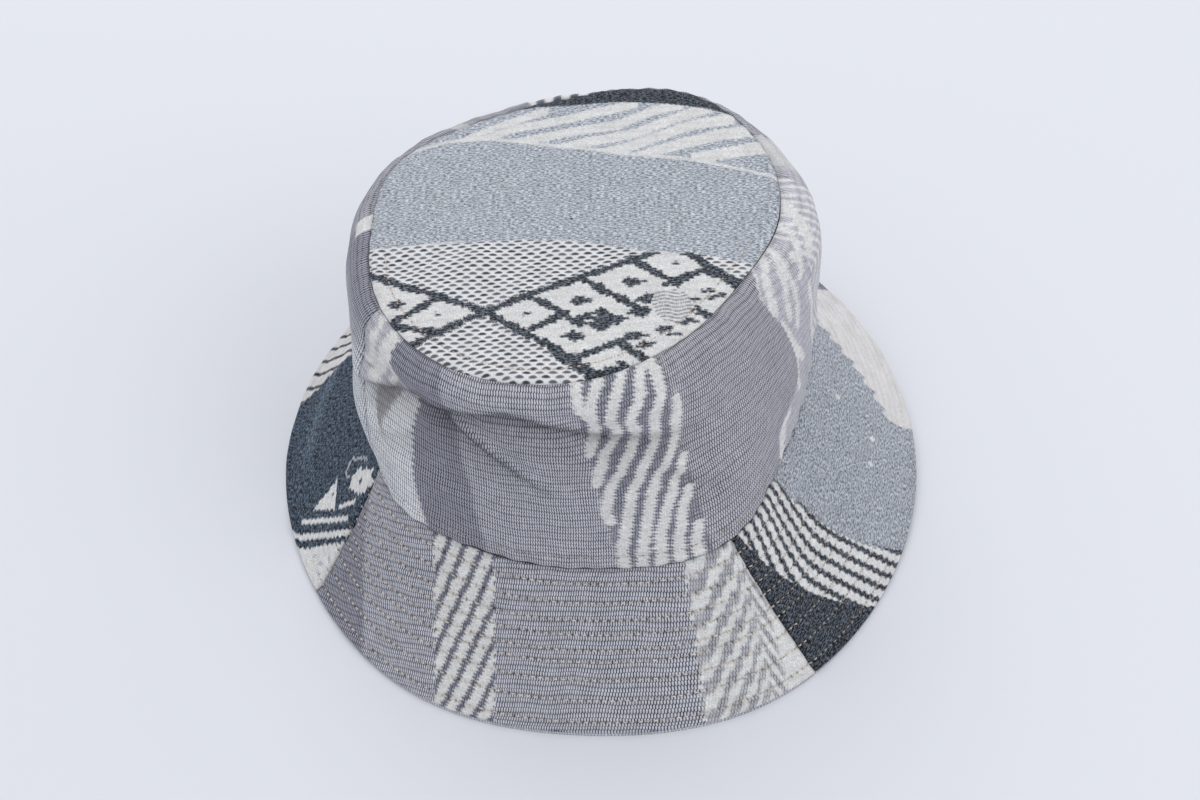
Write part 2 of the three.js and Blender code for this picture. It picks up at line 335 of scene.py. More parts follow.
def grid_quads(rows, columns, wrap, flip, start):
    """Two triangles for each cell of a grid whose points are numbered row by row from `start`."""
    r = np.arange(rows - 1)[:, None]
    c = np.arange(columns if wrap else columns - 1)[None, :]
    c1 = (c + 1) % columns
    a, b, d, e = r * columns + c, (r + 1) * columns + c, (r + 1) * columns + c1, r * columns + c1
    corners = np.stack([a, b, d, a, d, e], -1).reshape(-1, 3) + start
    return corners[:, ::-1] if flip else corners


def rim_walks(rows, columns, wrap):
    """The grid's border as walks over point numbers, with the face always on the same hand."""
    ids = np.arange(rows * columns).reshape(rows, columns)
    if wrap:
        top = np.append(ids[0], ids[0, 0])
        bottom = np.append(ids[-1], ids[-1, 0])[::-1]
        return [top, bottom]
    around_it = [ids[0, :-1], ids[:-1, -1], ids[-1, :0:-1], ids[::-1, 0]]
    return [np.concatenate(around_it)]


def rim_strip(fine, coarse):
    """Triangles between a walk of fine points and one with a quarter of them."""
    a, b, c, d, e = (fine[k:len(fine) - COARSE + k:COARSE] for k in range(COARSE + 1))
    q, s = coarse[:-1], coarse[1:]
    return np.concatenate([np.stack(t, -1) for t in ((a, b, q), (b, c, q), (c, s, q), (c, d, s), (d, e, s))])


def cloth_panel(name, outer, inner, wrap):
    """Makes the mesh from the outer grid and the inner one, both (rows, columns, 3) in millimetres."""
    rows, columns = outer.shape[:2]
    few = inner[::COARSE, ::COARSE]
    start = rows * columns
    walks = zip(rim_walks(rows, columns, wrap), rim_walks(*few.shape[:2], wrap))
    faces = [
        grid_quads(rows, columns, wrap, False, 0),
        grid_quads(*few.shape[:2], wrap, True, start),
        *(rim_strip(fine, coarse + start) for fine, coarse in walks),
    ]
    points = np.concatenate([outer.reshape(-1, 3), few.reshape(-1, 3)])
    return mesh_object(name, points, np.concatenate(faces))


def mesh_object(name, points, triangles):
    """A smooth mesh object from arrays of points in millimetres and of triangles."""
    mesh = bpy.data.meshes.new(name)
    mesh.vertices.add(len(points))
    mesh.vertices.foreach_set("co", (points * MM).astype(np.float32).ravel())
    mesh.loops.add(triangles.size)
    mesh.loops.foreach_set("vertex_index", triangles.astype(np.int32).ravel())
    mesh.polygons.add(len(triangles))
    mesh.polygons.foreach_set("loop_start", np.arange(0, triangles.size, 3, dtype=np.int32))
    mesh.polygons.foreach_set("use_smooth", np.ones(len(triangles), dtype=bool))
    mesh.update()
    mesh.validate()
    piece = bpy.data.objects.new(name, mesh)
    bpy.context.scene.collection.objects.link(piece)
    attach(piece, "root")
    SHAPES[name] = piece
    print(f"{name}: {len(points)} points, {len(triangles)} triangles")
    return piece


def keep_attribute(piece, label, kind, values):
    """Stores one value for each point of a piece."""
    field = "vector" if kind == "FLOAT_VECTOR" else "color"
    layer = piece.data.attributes.new(label, kind, "POINT")
    layer.data.foreach_set(field, values.astype(np.float32).ravel())


# %% [markdown]
# ## Seams, stitch rows and puckers
#
# Where two panels are sewn together, the cloth rolls down into the seam. A row of topstitching draws a
# shallow groove, and between rows the cloth stands up a little. The needle pulls at each stitch, which
# gives the fine pucker along a row. All of it is a height in millimetres added along the normal, from
# the distance to the seam. The needle holes and the seams also get painted shade in the colour: darker
# dots at each hole and a narrow line along each seam.

# %% Relief of the sewn cloth
roll_depth = 1.0  # how far the cloth dips into a seam
roll_width = 1.3
groove_depth = 0.34
groove_width = 0.75
needle_pull = 0.35  # how much deeper the groove is at a needle hole, as a share
hold_reach = 1.8  # how far from a row the cloth is held down
stitch_pitch = 2.9  # one stitch and the gap after it
brim_rows = np.array([5.6, 12.8, 19.6, 25.3, 31.5, 36.3, 43.8, 52.2, 61.3])  # from the head seam
brim_width = 66.0  # head seam to edge, along the cloth
top_row = 6.5  # the top's own topstitching, from its seam
wall_row = 6.0  # the wall's, above the brim
WALL_DEPTH = 92.0  # top seam to brim seam along the cloth, millimetres

# The darkness of the needle holes in these tables is painted shade in the cloth's colour.
BRIM_THREAD = (  # angle, how deep the row lies in mm, how dark the needle holes are, tint of the thread
    (0, 0.68, 0.20, "#adacb1"), (118, 0.68, 0.20, "#adacb1"), (130, 0.72, 0.15, "#555961"),
    (202, 0.72, 0.15, "#555961"), (206, 0.22, 1.00, "#e6d6c8"), (301, 0.22, 1.00, "#e6d6c8"),
    (306, 0.36, 0.60, "#b5a698"), (326, 0.36, 0.60, "#b5a698"), (334, 0.68, 0.22, "#adacb1"),
    (360, 0.68, 0.20, "#adacb1"),
)
WALL_THREAD = ((0, 0.42, 0.40, "#b8ab9f"), (360, 0.42, 0.40, "#b8ab9f"))
TOP_THREAD = (
    (0, 0.60, 0.15, "#b3adaa"), (172, 0.60, 0.15, "#b3adaa"), (186, 0.26, 0.45, "#d6bfab"),
    (344, 0.26, 0.45, "#d6bfab"), (352, 0.60, 0.15, "#b3adaa"), (360, 0.60, 0.15, "#b3adaa"),
)


def thread_at(table, angle):
    """Depth, darkness of the holes and tint of a thread at each angle."""
    at, depth, dark = np.array([row[:3] for row in table]).T
    tints = np.array([linear(row[3]) for row in table])
    turned = np.mod(angle, 360)
    tint = np.stack([np.interp(turned, at, tints[:, k]) for k in range(3)], -1)
    return np.interp(turned, at, depth), np.interp(turned, at, dark), tint


def level(share):
    """A row that keeps one share all round, as a function that gives its share at each angle."""
    return lambda angle: np.full(np.shape(angle), share)


def top_row_share(angle):
    return 1 - top_row / top_reach(angle)


def row_count(face, share_at):
    """Angles round the hat and, for each, how many stitches of this row lie before it, by length."""
    ring = np.linspace(0, 360, 1441)
    path = face(ring, share_at(ring))
    length = np.concatenate([[0], np.cumsum(np.linalg.norm(np.diff(path, axis=0), axis=1))])
    return ring, length / length[-1] * int(length[-1] / stitch_pitch)


BRIM_LEVELS = [level(row / brim_width) for row in brim_rows]
WALL_LEVEL = level(1 - wall_row / WALL_DEPTH)
BRIM_COUNTS = [row_count(brim_face, share_at) for share_at in BRIM_LEVELS]
WALL_COUNT = row_count(side_face, WALL_LEVEL)
TOP_COUNT = row_count(top_face, top_row_share)


def needle(counts, angle):
    """1 where the needle goes in and -1 halfway along a stitch, for each row, less at some stitches."""
    passed = [np.interp(np.mod(angle, 360), *count) for count in counts]
    return [np.cos(2 * np.pi * p) * (0.6 + 0.4 * dice_of(np.round(p) + k)) for k, p in enumerate(passed)]


def seam_roll(distance):
    return -roll_depth * bell(distance, roll_width)


def stitch_groove(distance, rows, needles):
    """A dip at each row, deepest where the needle goes in."""
    return -groove_depth * sum(
        bell(distance - row, groove_width) * (1 + needle_pull * way_in)
        for row, way_in in zip(rows, needles))


def freedom(distance, rows):
    """1 between the rows, 0 where a row holds the cloth down."""
    return np.prod([1 - bell(distance - row, hold_reach) for row in rows], axis=0)


def needle_shade(distance, rows, needles, dark):
    """Painted shade: darker dots where the needle goes in, between two stitches."""
    dots = sum(np.clip(way_in, 0, 1) ** 2 * bell(distance - row, 0.65) for row, way_in in zip(rows, needles))
    return np.maximum(1 - dark * dots, 0.08)


def seam_shade(distance, depth):
    """The narrow shadow in a seam."""
    return 1 - depth * bell(distance, 0.9)


def ripple(x, y, seed, size=26.0):
    """Slow unevenness of hand-woven cloth: a sum of eight crossed waves of seeded direction."""
    dice = np.random.default_rng(seed)
    total = 0
    for _ in range(8):
        turn, phase, stretch = dice.uniform(0, 2 * np.pi), dice.uniform(0, 2 * np.pi), dice.uniform(0.6, 1.8)
        wave = 2 * np.pi / (size * stretch)
        total = total + np.sin((x * np.cos(turn) + y * np.sin(turn)) * wave + phase)
    return total / 8


print("Stitches round the brim:", [int(counted[-1]) for _, counted in BRIM_COUNTS])

# %% [markdown]
# ## The blanket's yarns
#
# A place in the cloth shows one of a few finishes: two yarn colours and how they cross. `rib` is a
# ribbed weft, rows of small light bumps with the dark yarn between them. `net` shows dark lens-shaped
# gaps between white rows, and `heather` is a fleecy mix of the two colours. A chart lays one finish
# over another with a soft mask, and the mesh keeps the result as attributes for the material to read.

# %% Yarn finishes and charts
YARNS = {  # light yarn, dark yarn, rib, net, heather
    "white": ("#f9f8f6", "#9a9a9f", 0.30, 0.0, 0.48),
    "netted_white": ("#ffffff", "#6d7587", 0.85, 0.0, 0.15),
    "cream": ("#eeebea", "#b2b0b3", 0.35, 0.0, 0.40),
    "rib": ("#d2d3dd", "#363742", 1.00, 0.0, 0.12),
    "mid_rib": ("#cac9d2", "#3e3d48", 1.00, 0.0, 0.15),
    "dark_rib": ("#adaebb", "#272833", 1.00, 0.0, 0.12),
    "band_dark": ("#8e909d", "#444652", 0.85, 0.0, 0.40),
    "charcoal": ("#7b8593", "#0a0e16", 0.30, 0.0, 1.55),
    "blue_charcoal": ("#7c92ab", "#0b131f", 0.30, 0.0, 1.55),
    # pale blue-grey of the painted highlight streak on the left brim
    "painted_highlight": ("#9fb2c4", "#33404f", 0.20, 0.0, 1.00),
    "lattice": ("#8a939e", "#161c27", 0.25, 0.0, 1.60),
    "melange": ("#e9edf3", "#717b8a", 0.10, 0.0, 1.00),
    # the top's melange painted darker for the brim: painted shade where the slope gets less light
    "shaded_melange": ("#dadde4", "#6c7583", 0.10, 0.0, 1.00),
    "net": ("#f1f1f3", "#262d39", 0.12, 1.0, 0.10),
    "pale_grey": ("#bdbdc4", "#6b6b74", 0.90, 0.0, 0.30),
    "beige": ("#b4b1b3", "#74727a", 0.90, 0.0, 0.35),
    "leaf": ("#ffffff", "#7d8496", 1.00, 0.0, 0.35),
    "heather": ("#e6e5e4", "#9d9da5", 0.55, 0.0, 0.60),
    "grey": ("#e4e3ea", "#8b8a95", 0.85, 0.0, 0.60),
}
YARN_VALUES = {name: np.concatenate([linear(light), linear(dark), amounts])
               for name, (light, dark, *amounts) in YARNS.items()}


def blank(places, yarn):
    """A chart for these places, all in one finish: 6 colour columns, then rib, net and heather."""
    return np.tile(YARN_VALUES[yarn], (*places.shape, 1))


def lay(chart, mask, yarn):
    """Puts a finish over the chart where the mask is 1."""
    chart += (YARN_VALUES[yarn] - chart) * mask[..., None]


def inside(depth, blur=0.35):
    """1 where a signed depth in millimetres is positive, with a short ramp across the edge."""
    return np.clip(depth / blur + 0.5, 0, 1)


def both(*masks):
    return np.prod(np.broadcast_arrays(*masks), axis=0)


def rows_of(value, pitch):
    """The value at the middle of its row of thread, which makes a slanted edge step."""
    return (np.floor(value / pitch) + 0.5) * pitch


def teeth_of(value, pitch, depth):
    """Square teeth of single threads along an edge, `depth` millimetres in and out."""
    return depth * np.sign(swing(value, pitch))


def stripes(value, pitch, share):
    """Signed depth into stripes: positive over `share` of each pitch."""
    place = np.mod(value, pitch) - pitch / 2
    return pitch * share / 2 - np.abs(place)


def line_mask(x, y, a, b, width):
    """Mask of a straight bar of a width from point a to point b, with square-cut threads."""
    a, b = np.array(a, float), np.array(b, float)
    way = b - a
    length = np.hypot(*way)
    along = ((x - a[0]) * way[0] + (y - a[1]) * way[1]) / length
    across = ((y - a[1]) * way[0] - (x - a[0]) * way[1]) / length
    return both(inside(width / 2 - np.abs(across)), inside(np.minimum(along, length - along) + width / 3))


def diamond(x, y, middle, half_width, half_height):
    """Mask of a diamond: |x| / half width + |y| / half height under 1."""
    depth = 1 - np.abs(x - middle[0]) / half_width - np.abs(y - middle[1]) / half_height
    return inside(depth * min(half_width, half_height) * 0.7)


print(len(YARNS), "yarn finishes")

# %% [markdown]
# ## The chart of the top
#
# From back to front the top shows a sliver of charcoal, slanting white stripes, a wide blue-grey
# heather, and a trellis of dark lines with white diamonds in a net ground. The cloth was cut a little
# on the skew, so the zones sag towards the right. Millimetres from the middle of the top, +Y back.

# %% Zones and trellis of the top
TOP_ZONES = {  # edge towards the front: x and y of a few points
    "charcoal": ((-80, -17, 19, 34, 50, 80), (66, 70.6, 70.4, 68.3, 64.4, 50)),
    "stripes": ((-80, -64, -50, -33, -17, 18, 49, 68, 80), (42, 47, 51.6, 50.8, 46.6, 36.7, 29.4, 22.5, 17)),
    "melange": ((-80, -19, -4, 10, 29, 47, 67, 80), (-8.6, -9.4, -11.4, -14.4, -20.1, -22.3, -28.5, -33)),
}
WHITE_STRIPES = (  # white bars that climb to the right: x, y of a few points along each
    ((-46, 51), (-30, 60), (-10, 68)),
    ((-40, 50), (-24, 57), (-5, 60.5), (14, 65), (26, 69)),
    ((-28, 47), (-5, 51.5), (18, 55), (32, 63), (44, 67)),
    ((-12, 41), (9, 45.5), (25, 49), (46, 60), (56, 64)),
    ((9, 37), (22, 40.7), (36, 47), (47, 52.5), (64, 56)),
    ((25, 34), (41, 40), (58, 46), (74, 48)),
    ((46, 31), (67, 36), (80, 37)),
)
TRELLIS = (  # dark lines: x and y of both ends
    (-76, -22, -31, -45.8), (-31, -45.8, 12, -80),
    (-60, -62, -31, -45.8), (-31, -45.8, 31, -20.5),
    (-70, -51, -48.5, -38), (-66, -49, -46, -55),
    (-15.3, -40, 4, -55), (-13.5, -56.5, -1.5, -49.5),
    (3.5, -31.5, 24, -49), (2.5, -53, 11, -48.5),
    (22, -23.5, 39, -37.5), (34, -37, 50, -30.5),
    (42, -21.5, 61, -37.5), (50, -31.5, 61, -39.5),
    (-3, -68, 2.4, -71), (2.4, -71, 20.5, -62.5),
    (19, -66, 28, -73), (-3.5, -69, 9, -80), (7, -80, 21, -75.5),
)
DIAMONDS = (  # dark marks inside the white diamonds: x, y, half width, half height
    (-63, -39, 3.6, 2.6), (-48.5, -46, 1.2, 0.8), (-16.4, -48.7, 1.8, 1.0),
    (3, -43.2, 4.8, 2.7), (1.8, -60.5, 4.9, 2.8), (22, -35.5, 4.8, 2.7),
    (38.2, -26.6, 1.9, 1.0), (12.2, -53.8, 8.8, 5.2), (17.5, -73.6, 2.2, 1.0), (13.5, -75.8, 1.6, 0.8),
    (27.0, -44.4, 4.6, 3.0), (25.0, -50.6, 5.2, 3.0), (23.6, -61.6, 4.6, 2.0), (26.4, -66.0, 4.2, 2.0),
    (43.6, -45.2, 3.2, 1.2), (43.4, -49.8, 3.6, 1.9), (47.6, -52.2, 4.0, 1.9), (41.8, -55.6, 5.0, 1.8),
    (50.6, -44.4, 3.0, 1.4), (50.8, -41.0, 1.8, 1.5), (53.6, -43.2, 2.6, 1.1), (48.0, -41.2, 1.8, 1.0),
    (33.2, -59.4, 3.0, 1.6), (35.8, -61.6, 3.0, 1.2), (35.6, -58.2, 1.8, 0.9),
)
NET_GROUNDS = (  # corners of the netted grounds between the trellis lines
    ((-82, 0), (-82, -21), (-31, -45.8), (31, -19), (31, 0)),
    ((-60, -62), (-31, -45.8), (-3, -68), (9, -82), (-40, -82)),
    ((42, -20), (61, -37.5), (82, -60), (82, -20)),
)
NOTCHES = ((6.4, -53.6, 2.2, 0.8), (9.4, -51.2, 1.7, 0.8), (15.6, -56.4, 1.6, 0.8))  # white, the same
WAVY_PATCH = (  # corners of the patch with fine wavy lines
    (30, -41.5), (37, -40.0), (42.5, -42.5), (44, -49), (40, -55.5), (34, -56.5), (31, -52), (28.5, -46),
)
TRELLIS_WIDTH = 3.1
ROW = 1.2  # height of one row of weft in the charted patterns


def inside_polygon(x, y, corners):
    """1 inside a polygon, by counting the sides that a level line to the right crosses."""
    crossings = np.zeros(x.shape, int)
    for (x0, y0), (x1, y1) in zip(corners, corners[1:] + corners[:1]):
        if y0 == y1:
            continue
        hit = ((y0 > y) != (y1 > y)) & (x < x0 + (y - y0) * (x1 - x0) / (y1 - y0))
        crossings += hit
    return (crossings % 2).astype(float)


def top_chart(x, y):
    teeth = teeth_of(x, 3.0, 0.5)
    row = rows_of(y, ROW)
    edges = {name: np.interp(x, *line) for name, line in TOP_ZONES.items()}
    chart = blank(x, "melange")
    stripe_zone = inside(y - edges["stripes"] + 0.6 * teeth)
    for line in WHITE_STRIPES:
        middle = np.interp(x, *np.array(line).T, left=-99, right=199)
        half_width = 2.5 + 0.012 * (x + 30)
        bar = inside(half_width - np.abs(y - middle + 0.45 * teeth), 0.8)
        lay(chart, both(bar, stripe_zone), "white")
    hem = inside(1.0 - np.abs(y - edges["stripes"] - 0.6), 0.6)
    lay(chart, hem * 0.8, "white")
    lay(chart, inside(y - edges["charcoal"]), "charcoal")

    front = inside(edges["melange"] - row)
    lay(chart, front, "white")
    for corners in NET_GROUNDS:
        lay(chart, both(front, inside_polygon(x, row, corners)), "net")
    step = x + jitter(np.floor(y / ROW), 2.3)
    row = row + jitter(np.floor(x / 1.6) + 31, 0.5)
    for *ends, x1, y1 in TRELLIS:
        lay(chart, both(front, line_mask(step, row, ends, (x1, y1), TRELLIS_WIDTH)), "lattice")
    for *middle, half_width, half_height in DIAMONDS:
        lay(chart, both(front, diamond(step, row, middle, half_width, half_height)), "lattice")
    for *middle, half_width, half_height in NOTCHES:
        lay(chart, diamond(step, row, middle, half_width, half_height), "white")
    patch = inside_polygon(x + 0.5 * teeth, y, WAVY_PATCH)
    pinstripe = inside(stripes(y + 0.5 * swing(x, 9), 1.7, 0.34), 0.5)
    lay(chart, patch, "white")
    lay(chart, both(patch, pinstripe) * 0.7, "lattice")
    return chart


print(len(TRELLIS), "trellis lines and", len(DIAMONDS), "marks on the top")

# %% [markdown]
# ## The chart of the wall
#
# Round the wall the cloth's bands stand upright: white chevrons at the left, a dark and a light ribbed
# band, a band of slanting white stripes in front, a plain rib, and fine white chevrons at the right.
# Each band's edge is given by its angle at the top seam and at the brim seam, and the cloth's own
# sideways place runs evenly between them.

# %% Bands of the wall
WALL_EDGES = (  # angle at the top seam, angle at the brim seam, millimetres along the cloth
    (14, 14, -290), (60, 60, -220), (104, 104, -150), (122, 122, -122), (150, 150, -78), (174, 174, -44),
    (190, 190, -24), (208, 208, 0), (221.5, 225, 24), (236, 242.5, 48), (271.5, 275.5, 102),
    (293, 295.5, 133), (328, 344, 195), (374, 374, 265),
)


def wall_place(angle, share):
    """Millimetres along the cloth: linear between neighbouring band edges, whose angles run evenly
    from the top seam to the brim seam."""
    table = np.array(WALL_EDGES)
    total = np.full(np.shape(angle), table[0, 2])
    for (t0, b0, x0), (t1, b1, x1) in zip(table[:-1], table[1:]):
        low, high = t0 + (b0 - t0) * share, t1 + (b1 - t1) * share
        total = total + np.clip((angle - low) / (high - low), 0, 1) * (x1 - x0)
    return total


WALL_BARS = (  # white bars of the slanting band, from the top down: depth, then place along the cloth
    ((0, 102.8), (4, 101.8), (8, 102.2), (14, 105)),
    ((0, 111), (3, 109.8), (6, 108), (9, 106.5), (14, 106), (20, 105.6), (26, 104), (33, 101)),
    ((0, 120.5), (4, 117.7), (8, 116), (12, 114.3), (18, 112), (24, 113.5), (29, 111.5), (32, 108.1),
     (36, 105.6), (41, 103.6), (48, 101)),
    ((0, 128.5), (5, 125.6), (10, 124.6), (14, 122.2), (20, 119), (27, 120), (32, 118), (39, 113.6),
     (43, 111.1), (47, 107.9), (51, 105.4), (56, 103.6), (62, 101.6), (68, 102.6)),
    ((0, 131.5), (4, 132.4), (11, 132.5), (15, 131), (19, 128.6), (25, 127.6), (34, 126.4), (41, 120.9),
     (49, 116.6), (53, 113.6), (58, 111.8), (64, 109.9), (70, 108), (76, 106), (82, 104.2), (92, 103.6)),
    ((17, 138), (25, 136.7), (30, 135.6), (36, 134.6), (40, 132), (44, 128.8), (51, 122.7), (59, 119.3),
     (64, 117.5), (70, 115.6), (76, 113.6), (81, 112), (92, 110)),
    ((46, 135), (52, 132), (54, 129.6), (58, 127.6), (62, 125.9), (66, 123.6), (71, 121.7), (77, 119.1),
     (83, 118), (92, 117)),
    ((59, 134), (64, 131.2), (70, 128.6), (75, 127.4), (80, 125.2), (92, 123.4)),
    ((76, 134), (83, 131.2), (92, 130.6)),
)
WALL_STROKES = (  # white strokes of the fine chevrons: width, then depth and place as above
    (3.4, ((0, 215), (1.4, 213.8), (5.5, 206.7), (12, 202), (20, 199.9))),
    (3.2, ((24, 201), (34, 203), (43, 206), (56, 212))),
    (1.7, ((0, 207), (1.8, 205.2), (5.5, 199.7), (10, 196.6))),
    (1.7, ((0, 221.5), (1.4, 219.9), (5.5, 216), (11.5, 212.5), (20, 208.3), (28, 208.3))),
    (1.5, ((2, 220.5), (9, 216.9), (17, 215.5), (27, 213.4), (36, 211.5))),
    (1.5, ((6, 224.3), (11, 224.7))),
    (5.0, ((0, 247.5), (1, 246.7), (3, 244.2), (5, 240.2), (9, 235.9), (12, 233))),
    (1.8, ((0, 235.8), (3, 233.5), (5.5, 230), (11, 224.6), (16, 221))),
    (2.0, ((44, 205.6), (56, 204.2), (68, 203))),
    (1.6, ((22, 224.3), (32, 225.1), (46, 226.3), (60, 226))),
    (4.2, ((73, 190), (77, 184.5), (86, 181.4), (92, 180.6))),
    (2.6, ((8, 6.0), (12, 7.7), (22, 4.2))), (2.4, ((0, 6.2), (5, 7.9), (10, 7.8))),
    (4.0, ((1, 17.9), (8, 16.5), (19, 11), (28, 8))),
    (2.6, ((2, 22.1), (7, 21.6), (14, 19.5), (22, 18.8))),
    (7.0, ((35, 0.5), (43, 1.8), (50, 4.2), (55, 7.2), (59, 10.6), (64, 14.6), (72, 17.4), (92, 20))),
    (8.0, ((21, 29.4), (26, 27.4), (32, 23.8), (40, 19.8), (47, 16.6), (54, 17.4), (70, 20))),
)
WALL_LEFT_END = (  # right edge of the left chevrons: depths, then places
    (0, 5, 11, 17, 20, 26, 39, 50, 61, 72, 92), (23, 21, 22, 25, 31, 31.8, 27.1, 25.6, 24.4, 23.8, 25.4),
)
WALL_RIGHT_START = (  # left edge of the right chevrons
    (0, 4, 9, 17, 25, 35, 47, 60, 66, 70, 73, 77, 92),
    (208, 201.7, 198, 198.2, 201.2, 202.6, 204.9, 204, 197, 191, 186, 180.5, 178),
)
WALL_TRIANGLE = ((7, 28), (27, 22), (21, 34), (15.8, 45), (11.4, 56), (9, 50))
BACK_BANDS = (  # from and to along the cloth, and finish, past the teeth at the back
    (-290, -283, "grey"), (-283, -263, "heather"), (-263, -181, "mid_rib"), (-181, -149, "band_dark"),
    (-149, -117, "mid_rib"), (-117, -111, "heather"), (-111, -44, "mid_rib"), (-44, 0, "dark_rib"),
)


def feathered(x, y, depth):
    """Edge offset of slanting threads: a sawtooth that runs down to the right."""
    thread = (y - 0.9 * x) / 1.9
    return depth * (np.mod(thread, 1) - 0.5) + jitter(np.floor(thread), 0.9)


def stroke(x, y, width, points):
    """Mask of a bar of a width that follows points of depth and place, and ends where they end."""
    at, place = np.array(points, float).T
    taper = 1.2
    ends = np.clip((y - at[0] + taper) / taper, 0, 1) * np.clip((at[-1] + taper - y) / taper, 0, 1)
    return inside(width / 2 * ends - np.abs(x - np.interp(y, at, place)) - 0.02, 0.7)


def band_of(x, start, end, edge):
    """Mask between two places, both with the same uneven edge."""
    return both(inside(x - start + edge), inside(end - x + edge))


def wall_chart(x, y):
    teeth = teeth_of(y, 3.6, 0.55)
    saw = feathered(x, y, 1.9)
    chart = blank(x, "rib")
    lay(chart, inside(48 - x, 2), "dark_rib")
    lay(chart, inside(x - 133 + teeth), "mid_rib")
    lay(chart, band_of(x, 101, 135.5, 0.6 * saw) * 0.75, "band_dark")
    for points in WALL_BARS:
        lay(chart, both(stroke(x + 0.95 * saw, y, 4.7, points), band_of(x, 99.5, 139, 0)), "white")

    left = inside(np.interp(y, *WALL_LEFT_END) - x + teeth)
    lay(chart, left, "leaf")
    lay(chart, both(left, inside(36 - y - 0.35 * np.abs(x - 12), 8)), "grey")
    lay(chart, both(left, inside_polygon(x + 0.5 * saw, y, WALL_TRIANGLE)), "beige")
    right = inside(x - np.interp(y, *WALL_RIGHT_START) + 0.6 * teeth)
    lay(chart, right, "grey")
    zigzag = 0.5 * np.abs(np.mod(y + 6, 46) - 23)
    fine = inside(stripes(x + zigzag + 0.4 * saw, 4.2, 0.40), 0.9)
    lay(chart, both(right, inside(x - 228), fine), "white")
    for width, points in WALL_STROKES:
        zone = right if points[0][1] > 100 else left
        yarn = "netted_white" if width > 6 else "white"
        lay(chart, both(zone, stroke(x + 1.1 * saw, y, width * 1.25 + 1.2, points)), yarn)
    return chart


def back_wall_chart(x, y):
    teeth = teeth_of(y, 3.6, 0.55)
    chart = blank(x, "mid_rib")
    for start, end, yarn in BACK_BANDS:
        lay(chart, both(inside(x - start + teeth), inside(end - x - teeth)), yarn)
    slant = inside(stripes(x + 0.27 * rows_of(y, 1.8) + 0.2 * teeth, 8.6, 0.52), 0.7)
    lay(chart, both(inside(x + 181 + teeth), inside(-149 - x - teeth), slant), "white")
    lay(chart, both(inside(4 - np.abs(x + 44)), inside(5 - y + 2 * teeth, 2)), "white")
    lay(chart, both(inside(x + 44 + teeth, 3), inside(y - 11 + 3 * teeth, 8)), "rib")
    lay(chart, both(inside(x + 26 + teeth, 3), inside(y - 26 - 0.25 * x + 3 * teeth, 9)), "leaf")
    return chart


print(len(WALL_BARS), "bars and", len(WALL_STROKES), "strokes on the wall")


# %% [markdown]
# ## The charts of the brim
#
# A brim panel is cut flat as part of a ring and only then bent to its slope, so its bands run straight
# in the flat cloth. The chart uses those flat coordinates: a point's angle from the panel's middle,
# shrunk by the ring's share of a full turn, and its distance from the ring's middle.

# %% Flat cloth of the brim
FLAT_RADIUS = 190.0  # of the head seam, in the flat cut
FLAT_TURN = 0.4825  # flat degrees for each degree round the hat


def brim_place(angle, share, middle, skew=0.0):
    """x across the panel and y down it from the head seam, both in the flat cut, turned by the skew."""
    turn = np.radians(FLAT_TURN * (np.mod(angle - middle + 180, 360) - 180))
    radius = FLAT_RADIUS + brim_width * share
    x, y = radius * np.sin(turn), radius * np.cos(turn) - FLAT_RADIUS
    c, s = np.cos(np.radians(skew)), np.sin(np.radians(skew))
    return x * c + y * s, y * c - x * s


def slanting_band(chart, x, band, lean, pitch, share):
    """A dark band with white bars that slant across it: x plus the lean is the same along a bar."""
    lay(chart, band, "band_dark")
    lay(chart, both(band, inside(stripes(x + lean, pitch, share), 0.7)), "white")


def brim_front_chart(x, y):
    thread = np.floor(x / 1.2)
    teeth = teeth_of(y, 3.6, 0.6)
    chart = blank(x, "rib")
    lay(chart, inside(-101.5 - x, 2), "dark_rib")
    lean = 0.485 * y + feathered(x, y, 1.5) + 2.0
    slanting_band(chart, x, band_of(x, -63.6, -38, teeth), lean, 7.3, 0.64)
    right = inside(x - 35 + teeth)
    lay(chart, right, "white")
    left_of_ridge = 57 - x
    slide = y + jitter(thread, 4.5) + 6.5
    left_arm = (slide - 1.45 * left_of_ridge) / (10 + 0.2 * left_of_ridge)
    right_arm = (slide + 2.8 * left_of_ridge) / 10
    arm = np.where(left_of_ridge > 0, left_arm, right_arm) + jitter(thread + 7, 0.06)
    grey = inside(0.25 - np.abs(arm - np.round(arm)), 0.12)
    lay(chart, both(right, grey, inside(62.5 - x, 1.5)) * (0.7 + 0.3 * dice_of(thread + 3)), "pale_grey")
    return chart


BRIM_SPECKS = ((-2, 40), (-15.5, 39), (16, 58), (10, 20))  # white specks on the right panel's heather


def brim_right_chart(x, y):
    bend = 2.8 * np.logaddexp(0, (15 - y) / 4)
    low_edge = -84.5 + 0.0045 * (y - 14) ** 2
    high_edge = -55.0 + 0.004 * (y - 28) ** 2
    rope = 0.45 * swing(y, 3.2)
    # The brim's melange is the top's, painted darker as shade on the slope.
    chart = blank(x, "shaded_melange")
    lay(chart, inside(high_edge - x + rope), "white")
    dark = inside(stripes(x - bend + 83.4 + rope, 5.9, 0.40), 0.7)
    lay(chart, both(dark, inside(high_edge - x + 1.5)), "lattice")
    lay(chart, inside(low_edge - x + rope * 0.6), "charcoal")
    past_slant = y - (49 - 0.72 * (x - 16))
    lay(chart, both(inside(past_slant + 2 * np.sin(x), 1.5), inside(x - 12)), "cream")
    lay(chart, inside(x - 84, 1.5), "dark_rib")
    for middle in BRIM_SPECKS:
        lay(chart, diamond(x, y, middle, 1.6, 1.6), "white")
    return chart


